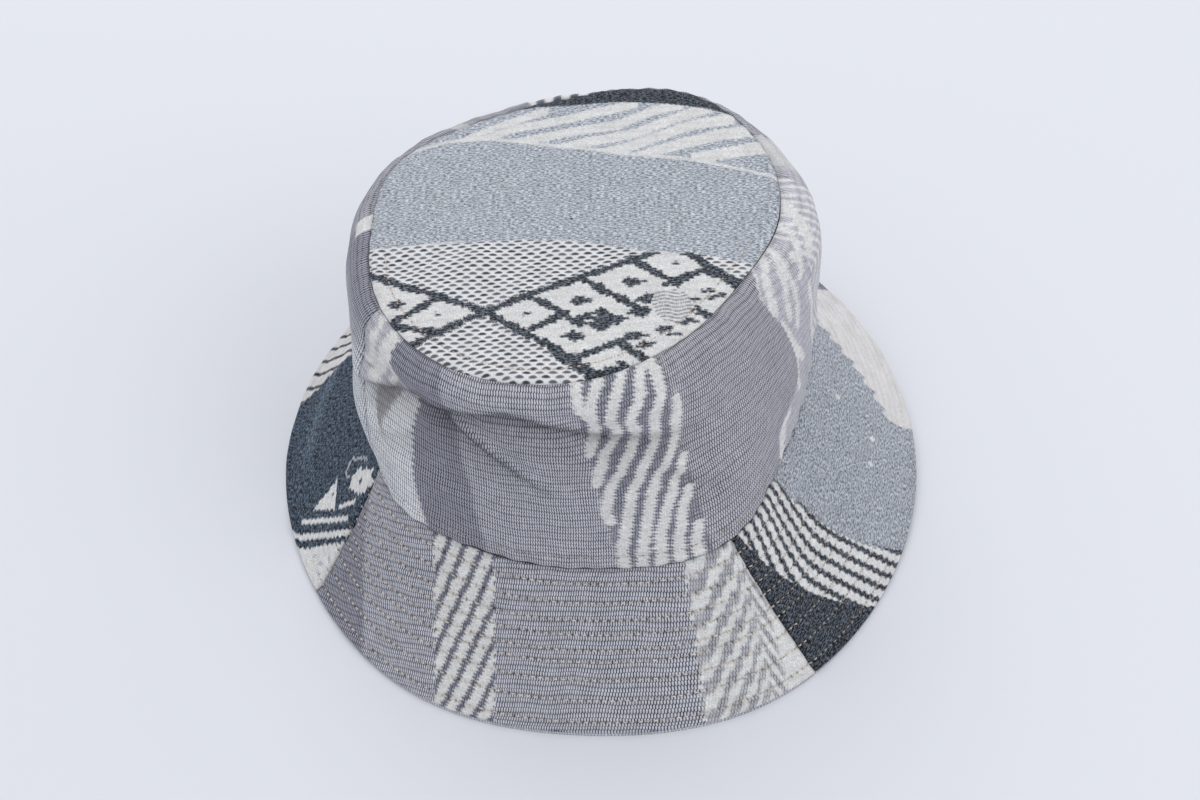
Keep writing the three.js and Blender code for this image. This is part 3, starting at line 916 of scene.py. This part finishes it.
LEFT_LINES = (  # white bars on the charcoal: x and y of both ends and width, in the skewed cloth
    (71.6, 27.5, 69.8, -6.0, 1.9), (77.4, 33.0, 74.6, -8.0, 2.3), (65.9, 1.6, 64.0, -12.0, 1.7),
)
LEFT_ARC = ((49.9, -17.5), (49.0, -7.8), (49.1, -1.5), (50.8, 1.0), (54.2, 1.1), (55.6, -2.4))
LEFT_SHAPES = (  # corners of the white eye, the sail and the white end
    ((59.4, -4.0), (55.2, -6.2), (53.6, -8.6), (52.2, -11.5), (53.8, -15.0), (52.6, -18.5), (54.0, -22.0),
     (53.8, -26.5), (57.0, -24.0), (58.0, -27.5), (59.6, -22.0), (61.6, -19.5), (61.6, -13.0), (60.4, -8.1)),
    ((54.6, 7.6), (60.1, 6.4), (66.9, 4.8), (67.2, 22.0), (65.4, 19.6), (63.6, 16.6), (62.0, 15.0),
     (60.4, 12.0), (58.4, 10.6), (56.6, 8.6)),
    ((81.6, 34.0), (80.6, 20.0), (79.2, 10.0), (78.0, -6.0), (100.0, 6.0), (100.0, 34.0)),
)
LEFT_SPECKS = (  # grey flecks on the white end and dark notches in the sail: x, y, half sizes
    (84.0, 8.0, 1.0, 1.5), (86.0, 14.0, 1.0, 2.0), (83.4, 18.0, 0.8, 1.6), (88.0, 10.0, 0.9, 1.4),
    (89.6, 16.0, 0.8, 1.8), (85.2, 3.0, 0.7, 1.2), (61.2, 8.6, 0.8, 0.8), (57.2, -14.3, 1.25, 1.6),
)


def brim_left_chart(x, y):
    rope = 0.4 * swing(y, 3.2) + jitter(np.floor(y / 1.1), 0.5)
    side = jitter(np.floor(x / 1.2) + 5, 0.7)
    chart = blank(x, "blue_charcoal")
    for corners in LEFT_SHAPES:
        lay(chart, inside_polygon(x + rope, y + side, corners), "white")
    for x0, y0, x1, y1, width in LEFT_LINES:
        lay(chart, line_mask(x + 0.7 * rope, y, (x0, y0), (x1, y1), width), "white")
    for start, end in zip(LEFT_ARC[:-1], LEFT_ARC[1:]):
        lay(chart, line_mask(x + rope, y + side, start, end, 0.9) * 0.8, "white")
    for *middle, half_x, half_y in LEFT_SPECKS:
        yarn = "grey" if middle[0] > 80 else "lattice"
        lay(chart, diamond(x + 0.5 * rope, y, middle, half_x, half_y), yarn)
    return chart


def left_stripes(chart, x, y):
    """White stripes at the left panel's back end and, beside them, a pale bluish streak of painted highlight,
    in the unskewed cloth.
    """
    streak = bell(y - 49.5 - 0.02 * x, 3.2) * inside(32 - np.abs(x - 2), 16)
    # Painted highlight: a paler, bluer streak that stands in for light along a low ridge of the brim.
    lay(chart, 0.55 * streak, "painted_highlight")
    zone = inside((y - 62) * 0.85 - x + 0.9 * np.sin(y * 2.1), 1.2)
    lay(chart, zone, "cream")
    lay(chart, both(zone, inside(stripes(x + 8.5, 7.0, 0.24), 0.6)), "lattice")


def brim_back_chart(x, y):
    teeth = teeth_of(y, 3.6, 0.6)
    chart = blank(x, "rib")
    lay(chart, inside(-28 - x, 2), "dark_rib")
    lean = 0.485 * rows_of(y, 1.8) + 0.25 * teeth
    slanting_band(chart, x, band_of(x, 8, 34, teeth), lean, 7.3, 0.54)
    return chart


print(len(LEFT_SHAPES) + len(LEFT_LINES), "white figures on the left panel")


# %% [markdown]
# ## Making the panels
#
# Each panel samples its face on a grid, adds the relief of seams and stitches, and gets an inner layer
# one cloth thickness further in. At a seam the way in is shared with the neighbour, so the two inner
# layers meet in a mitre and don't cross.

# %% Tools for the panels
fine_step = 0.5  # millimetres between grid points of the visible cloth
top_degree = 1.39  # millimetres along the cloth for one degree round the hat
wall_degree = 1.56
wall_seam_degree = 1.55  # the same, measured from a side seam
brim_degree = 2.05
wall_trim = seam_gap / 2 / 1.5  # degrees left free at a side seam
brim_trim = seam_gap / 2 / 1.9


def count_for(length, step=fine_step):
    """Number of points for a length, one more than a multiple of COARSE."""
    return int(np.ceil(length / step / COARSE)) * COARSE + 1


def panel_grid(shares, angles):
    """Share and angle of every point, one row for each share."""
    return np.meshgrid(shares, angles, indexing="ij")


def seam_way(upper, lower, angle):
    """The way in at the seam where one face ends and the next begins: the mean of both normals,
    lengthened at the bend so that it keeps the cloth's thickness."""
    above = face_normal(upper, angle, np.ones_like(angle))
    mean = unit(above + face_normal(lower, angle, np.zeros_like(angle)))
    fit = np.sum(mean * above, -1, keepdims=True)
    return -mean / np.maximum(fit, 0.6)


def turned_in(into, way, distance, reach=2.0):
    """Turns the way into the cloth towards a seam's shared way, near that seam."""
    near = bell(distance, reach)[..., None]
    return into * (1 - near) + way * near


def sew_in(name, node, layers, chart, cloth, shade, wrap=False):
    """Makes a panel from its outer and inner layer, in place of its solid, and stores the chart, the
    cloth's own x and y and the shade on its points. The inner layer repeats the values of the outer
    points that it keeps."""
    piece = cloth_panel(name, *layers, wrap)
    x, y = cloth
    ones = np.ones((*x.shape, 1))
    store = {
        "light_yarn": ("FLOAT_COLOR", chart[..., :3], ones),
        "dark_yarn": ("FLOAT_COLOR", chart[..., 3:6], ones),
        # its alpha holds the painted shade of seams, creases and needle holes
        "weave_and_shade": ("FLOAT_COLOR", chart[..., 6:9], shade[..., None]),
        "cloth_mm": ("FLOAT_VECTOR", np.stack([x, y], -1), 0 * ones),
    }
    for label, (kind, first, last) in store.items():
        values = np.concatenate([first, last], -1)
        outer, inner = (part.reshape(-1, values.shape[-1]) for part in (values, values[::COARSE, ::COARSE]))
        keep_attribute(piece, label, kind, np.concatenate([outer, inner]))
    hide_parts(node)


# %% [markdown]
# ### The top
#
# The top is a square grid bent to the oval. The share is the larger of |a| and |b|, and the angle runs
# evenly along each side of the square, so the cells stay nearly square and no point is a pole.

# %% The top
top_across = 142.0  # length that sets how fine the grid is
count = count_for(top_across)
a, b = np.meshgrid(np.linspace(1, -1, count), np.linspace(-1, 1, count), indexing="ij")
share = np.maximum(np.abs(a), np.abs(b))
wide = np.abs(b) >= np.abs(a)
sideways = 45 * a / np.where(wide, b, 1)
upright = 90 - 45 * b / np.where(wide, 1, np.where(a == 0, 1, a))
angle = np.where(wide, sideways, upright)
angle = np.where(np.where(wide, b, a) < 0, angle + 180, angle)

to_seam = top_reach(angle)
share = share * (1 - seam_gap / 2 / to_seam)
from_seam = (1 - share) * to_seam
face = top_face(angle, share)
x, y = (face[..., k] - shift[k] - top_middle[k] for k in (0, 1))
down = np.broadcast_to([0, 0, -1.0], face.shape)
into = turned_in(down, seam_way(top_face, side_face, angle), from_seam, 1.5)
needles = needle([TOP_COUNT], angle)
relief = 0.4 * seam_roll(from_seam) + 0.5 * stitch_groove(from_seam, [top_row], needles)
relief += 0.5 * ripple(x, y, 3) * freedom(from_seam, [top_row]) + 0.3 * bell(from_seam - 3.2, 1.8)
relief += 0.22 * swing(angle * top_degree, 9.3) * bell(from_seam, 5.0)
layers = face - into * relief[..., None], face + into * crown_cloth
_, holes, _ = thread_at(TOP_THREAD, angle)
shade = needle_shade(from_seam, [top_row], needles, holes) * seam_shade(from_seam, 0.06)
sew_in("top_cloth", "crown_top", layers, top_chart(x, y), (x, y), shade)


# %% [markdown]
# ### The wall
#
# The two wall panels share one function. The back one needs a coarser grid only.

# %% Panels of the wall
def wall_panel(name, node, start, end, step, chart):
    """One panel of the wall, from seam to seam in degrees."""
    half_gap = seam_gap / 2 / WALL_DEPTH
    share, angle = panel_grid(
        np.linspace(half_gap, 1 - half_gap, count_for(WALL_DEPTH, step)),
        np.linspace(start + wall_trim, end - wall_trim, count_for((end - start) * wall_degree, step)))
    face, normal = side_face(angle, share), face_normal(side_face, angle, share)
    x, y = wall_place(angle, share), share * WALL_DEPTH
    from_top, from_brim = y, WALL_DEPTH - y
    from_side = np.minimum(angle - start, end - angle) * wall_seam_degree
    into = turned_in(-normal, seam_way(top_face, side_face, angle), from_top)
    into = turned_in(into, seam_way(side_face, brim_face, angle), from_brim)
    needles = needle([WALL_COUNT], angle)
    relief = 0.5 * seam_roll(from_top) + 0.4 * seam_roll(from_brim) + 0.5 * seam_roll(from_side)
    relief += stitch_groove(from_brim, [wall_row], needles)
    relief += 0.9 * ripple(x, y, 5) * freedom(from_brim, [wall_row])
    relief += 0.3 * swing(angle, 6.875) * bell(from_brim, 6.0)
    relief += 0.25 * swing(angle, 5.1875) * bell(from_top, 6.0)
    layers = face + normal * relief[..., None], face + into * crown_cloth
    _, holes, _ = thread_at(WALL_THREAD, angle)
    shade = needle_shade(from_brim, [wall_row], needles, holes) * crease_shade(angle, 1 - share)
    shade = shade * seam_shade(from_top, 0.05) * seam_shade(from_brim, 0.1) * seam_shade(from_side, 0.2)
    sew_in(name, node, layers, chart(x, y), (x, y), shade)


def charts_behind(x, y):
    """The back panel's chart. The last bands before the side seam go on from the front's end."""
    return back_wall_chart(np.where(x > 0, x - 555, x), y)


wall_panel("wall_front_cloth", "crown_side_front", 208, 374, 0.55, wall_chart)
wall_panel("wall_back_cloth", "crown_side_back", 14, 208, 0.75, charts_behind)


# %% [markdown]
# ### The brim
#
# The four upper panels lie on a plain under cloth. Nine rows of topstitching go all the way round and
# hold both together, so the cloth stands up a little between the rows.

# %% Panels of the brim
def brim_panel(name, node, start, end, middle, step, chart, skew=0, edging=None):
    """One upper panel of the brim. `edging` lays stripes over the chart in the unskewed cloth."""
    half_gap = seam_gap / 2 / brim_width
    share, angle = panel_grid(
        np.linspace(half_gap, 1, count_for(brim_width, step)),
        np.linspace(start + brim_trim, end - brim_trim, count_for((end - start) * brim_degree, step)))
    face, normal = brim_face(angle, share), face_normal(brim_face, angle, share)
    x, y = brim_place(angle, share, middle, skew)
    degree = 1.6 + 0.8 * share  # millimetres for a degree, more towards the edge
    from_head, from_edge = share * brim_width, (1 - share) * brim_width
    from_side = np.minimum(angle - start, end - angle) * degree
    into = turned_in(-normal, seam_way(side_face, brim_face, angle), from_head)
    needles = needle(BRIM_COUNTS, angle)
    relief = 0.5 * seam_roll(from_head) + seam_roll(from_side) + 0.7 * seam_roll(from_edge)
    relief += stitch_groove(from_head, brim_rows, needles)
    relief += 1.1 * ripple(x, y, 7, 14.0) * freedom(from_head, brim_rows)
    relief += 0.25 * swing(angle * degree, 10.0) * bell(from_head, 4.0)
    layers = face + normal * relief[..., None], face + into * brim_cloth
    _, holes, _ = thread_at(BRIM_THREAD, angle)
    shade = needle_shade(from_head, brim_rows, needles, holes)
    shade = shade * seam_shade(from_head, 0.1) * seam_shade(from_side, 0.2)
    table = chart(x, y)
    if edging:
        edging(table, *brim_place(angle, share, middle))
    sew_in(name, node, layers, table, (x, y), shade)


brim_panel("brim_front_cloth", "brim_front", 204, 303, 268, 0.5, brim_front_chart)
brim_panel("brim_right_cloth", "brim_right", 303, 410, 356.5, 0.5, brim_right_chart)
brim_panel("brim_back_cloth", "brim_back", 50, 126, 88, 0.8, brim_back_chart)
brim_panel("brim_left_cloth", "brim_left", 126, 204, 165, 0.5, brim_left_chart, 22, left_stripes)

# %% [markdown]
# ### The under cloth
#
# One ring goes all the way round below the four panels. Its lower side lies on the floor at the hem.

# %% The under cloth
under_step = 1.1
under_columns = 640
half_gap = seam_gap / 2 / brim_width
share, angle = panel_grid(
    np.linspace(half_gap, 1, count_for(brim_width, under_step)),
    np.arange(under_columns) * 360 / under_columns)
face, normal = brim_face(angle, share), face_normal(brim_face, angle, share)
from_head = share * brim_width
into = turned_in(-normal, seam_way(side_face, brim_face, angle), from_head)
groove = stitch_groove(from_head, brim_rows, needle(BRIM_COUNTS, angle))
gap = brim_cloth + seam_gap
upper_side = face + into * gap
lower_side = face + into * (gap + under_cloth + 0.5 * groove[..., None])
upper_side[..., 2] = np.maximum(upper_side[..., 2], 0.6)
lower_side[..., 2] = np.maximum(lower_side[..., 2], 0)
sew_in("brim_under_cloth", "brim_under", (upper_side, lower_side), blank(angle, "grey"),
       (angle * 2.0, from_head), np.ones(angle.shape), wrap=True)

# %% [markdown]
# ## Topstitching
#
# A tan cotton thread runs in nine rows round the brim, one round the wall above it and one round the
# top. Each stitch is a small bead of thread that dives into the cloth at both ends. They are laid out
# by equal steps along each row's true length and joined in one mesh for each part of the hat.

# %% Stitches
thread_radius = 0.33
stitch_length = 1.9
SPINDLE = np.array([(-1, 0.35), (-0.62, 0.9), (0, 1), (0.62, 0.9), (1, 0.35)])  # place, thickness
SIDES = 4


def row_of_stitches(face, share_at, count, thread):
    """Centres, tangents, normals and tints of the stitches of one row, halfway between its holes."""
    ring, counted = count
    total = int(round(counted[-1]))
    middle = np.arange(total) + 0.5 + np.random.default_rng(total).uniform(-0.04, 0.04, total)
    place = np.interp(middle, counted, ring)
    share = share_at(place)
    depth, _, tint = thread_at(thread, place)
    normal = face_normal(face, place, share)
    along = unit(face(place + 0.2, share) - face(place - 0.2, share))
    return face(place, share) - normal * depth[:, None], along, normal, tint


def spindle_faces():
    """Triangles of one stitch: a tube of square rings, closed by two triangles at each end."""
    faces = []
    for start in range(0, (len(SPINDLE) - 1) * SIDES, SIDES):
        for k in range(SIDES):
            a, b = start + k, start + (k + 1) % SIDES
            faces += [(a, b + SIDES, b), (a, a + SIDES, b + SIDES)]
    last = (len(SPINDLE) - 1) * SIDES
    return np.array(faces + [(0, 1, 2), (0, 2, 3), (last, last + 2, last + 1), (last, last + 3, last + 2)])


def stitch_mesh(name, rows):
    """All stitches of these rows in one mesh. Each is a spindle, bent down at both ends and turned a
    little out of its row."""
    centre, along, out, tint = (np.concatenate(part) for part in zip(*rows))
    along = unit(along - out * np.sum(along * out, -1, keepdims=True))
    side = np.cross(out, along)
    tilt = np.random.default_rng(11).normal(0, 0.10, len(centre))[:, None]
    along, side = along * np.cos(tilt) + side * np.sin(tilt), side * np.cos(tilt) - along * np.sin(tilt)
    place, thickness = SPINDLE.T[:, :, None, None]
    rise = 0.18 - 0.62 * place ** 2
    turn = np.radians(45 + 360 / SIDES * np.arange(SIDES))[:, None, None]
    ring = np.cos(turn) * side + np.sin(turn) * out
    middle = centre + place * stitch_length / 2 * along + rise * out
    points = middle[:, None] + (thread_radius * thickness)[:, None] * ring
    each = len(SPINDLE) * SIDES
    triangles = spindle_faces() + np.arange(len(centre))[:, None, None] * each
    piece = mesh_object(name, points.transpose(2, 0, 1, 3).reshape(-1, 3), triangles.reshape(-1, 3))
    colour = np.concatenate([tint, np.ones((len(tint), 1))], -1)
    keep_attribute(piece, "tint", "FLOAT_COLOR", colour.repeat(each, axis=0))


brim_stitch_rows = [row_of_stitches(brim_face, share_at, count, BRIM_THREAD)
                    for share_at, count in zip(BRIM_LEVELS, BRIM_COUNTS)]
wall_stitch_rows = [row_of_stitches(side_face, WALL_LEVEL, WALL_COUNT, WALL_THREAD)]
top_stitch_rows = [row_of_stitches(top_face, top_row_share, TOP_COUNT, TOP_THREAD)]
stitch_mesh("brim_stitches", brim_stitch_rows)
stitch_mesh("wall_stitches", wall_stitch_rows)
stitch_mesh("top_stitches", top_stitch_rows)

# %% [markdown]
# ## The woven cloth as a material
#
# The yarn is wool and cotton spun thick, woven on a hand loom and a little felted, so it is rough, has
# a soft edge of fibres and no gloss. The material reads the chart from the mesh and draws the threads
# at their real size: ribs 1.0 mm across in rows 1.9 mm high, a net of 4.7 by 1.9 mm, and heather
# flecks of about 1.5 by 0.5 mm.

# %% Helper for nodes
def add_node(tree, kind, settings=None, **links):
    """Adds one node. `settings` are its properties. The links give its inputs, by name or as i and a
    number, each as another node's output or as a plain value."""
    made = tree.nodes.new(kind)
    for key, value in (settings or {}).items():
        setattr(made, key, value)
    for key, value in links.items():
        socket = made.inputs[int(key[1:]) if key[0] == "i" and key[1:].isdigit() else key.replace("_", " ")]
        if isinstance(value, bpy.types.NodeSocket):
            tree.links.new(value, socket)
        else:
            socket.default_value = value
    return made


def new_material(name):
    """A material with a bare Principled shader. Gives the material, its node tree and the shader."""
    material = bpy.data.materials.new(name)
    material.use_nodes = True
    return material, material.node_tree, material.node_tree.nodes["Principled BSDF"]


# %% [markdown]
# ### From threads to colour
#
# Each thread pattern gives a darkness from 0 to 1, which mixes the light yarn with the dark one. Slow
# and fine noise then make the tone uneven, and the same patterns push the surface in and out.

# %% The cloth's shader
def woven_cloth(name):
    """Shader of the blanket cloth: thread patterns from the cloth's millimetres, colours from the
    chart, relief from the same threads."""
    material, tree, shader = new_material(name)

    def calc(operation, *values):
        return add_node(tree, "ShaderNodeMath", {"operation": operation},
                        **{f"i{k}": v for k, v in enumerate(values)}).outputs[0]

    def plus(*values):
        return calc("ADD", *values)

    def minus(*values):
        return calc("SUBTRACT", *values)

    def times(*values):
        return calc("MULTIPLY", *values)

    def read(label, output):
        return add_node(tree, "ShaderNodeAttribute", {"attribute_name": label}).outputs[output]

    cloth_mm = read("cloth_mm", "Vector")
    waver = add_node(tree, "ShaderNodeTexNoise", {"noise_dimensions": "2D"},
                     Vector=cloth_mm, Scale=0.05, Detail=1.0).outputs[1]
    waver = add_node(tree, "ShaderNodeSeparateColor", i0=waver)
    place = add_node(tree, "ShaderNodeSeparateXYZ", i0=cloth_mm)
    u = plus(place.outputs[0], times(waver.outputs[0], 1.6))
    v = plus(place.outputs[1], times(waver.outputs[1], 2.4))
    weave_and_shade = add_node(tree, "ShaderNodeSeparateColor", i0=read("weave_and_shade", "Color"))
    rib, net, heather = weave_and_shade.outputs[:3]

    def thread_cells(pitch_u, pitch_v, half_u, half_v, power, arch, offset):
        """Soft marks in a grid whose rows are offset by a share of the pitch, oval or squarer with a
        higher power, and bent up by the arch. Gives the marks and a random value for each cell."""
        line = calc("DIVIDE", v, pitch_v)
        row = calc("FLOOR", line)
        cell = plus(calc("DIVIDE", u, pitch_u), times(row, offset))
        column = calc("FLOOR", cell)
        spot = add_node(tree, "ShaderNodeCombineXYZ", i0=column, i1=row).outputs[0]
        chance = add_node(tree, "ShaderNodeTexWhiteNoise", {"noise_dimensions": "2D"}, i0=spot).outputs[0]
        x = times(minus(minus(cell, column), 0.5), pitch_u / half_u)
        y = times(minus(minus(line, row), 0.5), pitch_v / half_v)
        y = plus(y, times(times(x, x), arch))
        radius = plus(calc("POWER", calc("ABSOLUTE", x), 2.0), calc("POWER", calc("ABSOLUTE", y), power))
        mask = add_node(tree, "ShaderNodeMapRange", {"interpolation_type": "SMOOTHSTEP"},
                        i0=radius, i1=0.25, i2=1.5, i3=1.0, i4=0.0).outputs[0]
        return mask, chance

    def flecks(scale_u, scale_v, low, high):
        """Streaky noise of the carded wool, from 0 to 1."""
        stretched = add_node(tree, "ShaderNodeVectorMath", {"operation": "MULTIPLY"},
                             i0=cloth_mm, i1=(scale_u, scale_v, 1.0)).outputs[0]
        made = add_node(tree, "ShaderNodeTexNoise", {"noise_dimensions": "2D"},
                        Vector=stretched, Scale=1.0, Detail=3.0, Roughness=0.62).outputs[0]
        return add_node(tree, "ShaderNodeMapRange", i0=made, i1=low, i2=high, i3=0.0, i4=1.0).outputs[0]

    bump, bump_chance = thread_cells(1.0, 1.9, 0.355, 1.04, 3.0, 0.0, 0.33)
    lens, lens_chance = thread_cells(4.7, 1.87, 1.62, 0.72, 2.0, 0.40, 0.5)
    fleece = flecks(0.65, 1.9, 0.38, 0.62)
    strands = flecks(1.3, 0.30, 0.38, 0.62)
    speck = flecks(2.0, 2.0, 0.30, 0.70)
    cloud = flecks(0.12, 0.12, 0.30, 0.70)

    rib_dark = times(minus(1.0, bump), plus(times(bump_chance, 0.40), 0.77))
    net_dark = times(lens, plus(times(lens_chance, 0.18), 0.80))
    fluff = plus(fleece, times(minus(strands, fleece), rib))
    dark = calc("MAXIMUM", times(rib, rib_dark), times(net, net_dark))
    dark = calc("MAXIMUM", dark, calc("MINIMUM", 1.0, times(heather, fluff)))
    colour = add_node(tree, "ShaderNodeMix", {"data_type": "RGBA"}, Factor=dark)
    tree.links.new(read("light_yarn", "Color"), colour.inputs[6])
    tree.links.new(read("dark_yarn", "Color"), colour.inputs[7])

    tone = plus(0.82, times(speck, 0.26))
    tone = plus(tone, times(strands, times(rib, 0.14)))
    tone = plus(tone, times(cloud, 0.14))
    row_wave = calc("COSINE", times(v, 2 * np.pi / 3.8))
    tone = plus(tone, times(row_wave, times(rib, 0.12)))
    # The alpha read here is the painted shade of seams, creases and needle holes, which darkens the colour.
    toned = add_node(tree, "ShaderNodeVectorMath", {"operation": "SCALE"},
                     i0=colour.outputs[2], Scale=times(tone, read("weave_and_shade", "Alpha"))).outputs[0]

    ridge = plus(0.1, times(bump, times(rib, 0.9)))
    ridge = minus(ridge, times(lens, net))
    ridge = minus(ridge, times(fleece, times(heather, 0.7)))
    ridge = plus(ridge, times(speck, 0.5))
    relief = add_node(tree, "ShaderNodeBump", Strength=0.8, Distance=0.0004, Height=ridge).outputs[0]

    constants = {"Roughness": 0.92, "Sheen Weight": 0.12, "Sheen Roughness": 0.55, "Specular IOR Level": 0.15}
    for label, value in constants.items():
        shader.inputs[label].default_value = value
    tree.links.new(toned, shader.inputs["Base Color"])
    tree.links.new(relief, shader.inputs["Normal"])
    return material


# %% Sewing thread
def tan_thread():
    """Cotton sewing thread: tan, a little lighter and darker from stitch to stitch."""
    material, tree, shader = new_material("tan_thread")
    place = add_node(tree, "ShaderNodeTexCoord").outputs["Object"]
    speck = add_node(tree, "ShaderNodeTexNoise", Vector=place, Scale=420.0, Detail=2.0).outputs[0]
    worn = add_node(tree, "ShaderNodeMapRange", i0=speck, i1=0.3, i2=0.7, i3=0.55, i4=1.15).outputs[0]
    tint = add_node(tree, "ShaderNodeAttribute", {"attribute_name": "tint"}).outputs["Color"]
    toned = add_node(tree, "ShaderNodeVectorMath", {"operation": "SCALE"}, i0=tint, Scale=worn).outputs[0]
    shader.inputs["Roughness"].default_value = 0.7
    tree.links.new(toned, shader.inputs["Base Color"])
    return material


blanket, thread = woven_cloth("hand_woven_blanket"), tan_thread()
for name, piece in SHAPES.items():
    piece.data.materials.append(thread if "stitches" in name else blanket)
print("Cloth and thread on", len(SHAPES), "pieces")
print("Triangles in all:", sum(len(piece.data.polygons) for piece in SHAPES.values()))

# %% [markdown]
# ## Floor, light and camera
#
# The hat lies on a pale surface under a wide soft light: a bright even sky, a window behind it on the
# left and a weaker fill from the right. The camera looks down at 48 degrees from in front, with a
# 50 mm lens.

# %% Floor and lights
def plain_material(name, colour, roughness):
    material, _, shader = new_material(name)
    shader.inputs["Base Color"].default_value = (*linear(colour), 1)
    shader.inputs["Roughness"].default_value = roughness
    return material


def plane(name, size, height):
    corners = np.array([(-1, -1, 0), (1, -1, 0), (1, 1, 0), (-1, 1, 0)]) * size / 2 + [0, 0, height]
    mesh = bpy.data.meshes.new(name)
    mesh.from_pydata(corners.tolist(), [], [(0, 1, 2, 3)])
    made = bpy.data.objects.new(name, mesh)
    bpy.context.scene.collection.objects.link(made)
    return made


floor = plane("floor", 60.0, 0.0)
floor.data.materials.append(plain_material("pale_paper", "#e7e9ee", 0.9))

world = bpy.data.worlds.new("studio")
bpy.context.scene.world = world
world.use_nodes = True
sky = world.node_tree.nodes["Background"]
sky.inputs["Color"].default_value = (*linear("#eceef2"), 1)
sky.inputs["Strength"].default_value = 0.87


def soft_light(name, place, target, size, watts):
    lamp = bpy.data.lights.new(name, "AREA")
    lamp.shape = "DISK"
    lamp.size = size
    lamp.energy = watts
    made = bpy.data.objects.new(name, lamp)
    bpy.context.scene.collection.objects.link(made)
    aim(made, place, target)


def aim(thing, place, target):
    """Puts a lamp or camera at a place, looking along -Z at a target, with Y up."""
    back = unit(np.array(place, float) - np.array(target, float))
    right = unit(np.cross([0, 0, 1.0], back))
    up = np.cross(back, right)
    matrix = np.eye(4)
    matrix[:3, :3], matrix[:3, 3] = np.stack([right, up, back], 1), place
    thing.matrix_world = Matrix(matrix.tolist())


soft_light("window", (-0.35, 1.2, 1.5), (0, 0, 0.05), 1.4, 8)
soft_light("fill", (1.2, -0.8, 1.2), (0, 0, 0.05), 1.6, 6)

# %% Camera
elevation = 48.0  # degrees above the floor
distance = 0.686
target = np.array([-0.0002714, -0.0075211, 0.040])
back = np.array([0, -np.cos(np.radians(elevation)), np.sin(np.radians(elevation))])
lens = bpy.data.cameras.new("camera")
lens.lens = 50.0
lens.sensor_width = 36.0
camera = bpy.data.objects.new("camera", lens)
bpy.context.scene.collection.objects.link(camera)
aim(camera, target + back * distance, target)
bpy.context.scene.camera = camera
bpy.context.scene.view_settings.view_transform = "Standard"
print("Camera at", camera.matrix_world.translation)
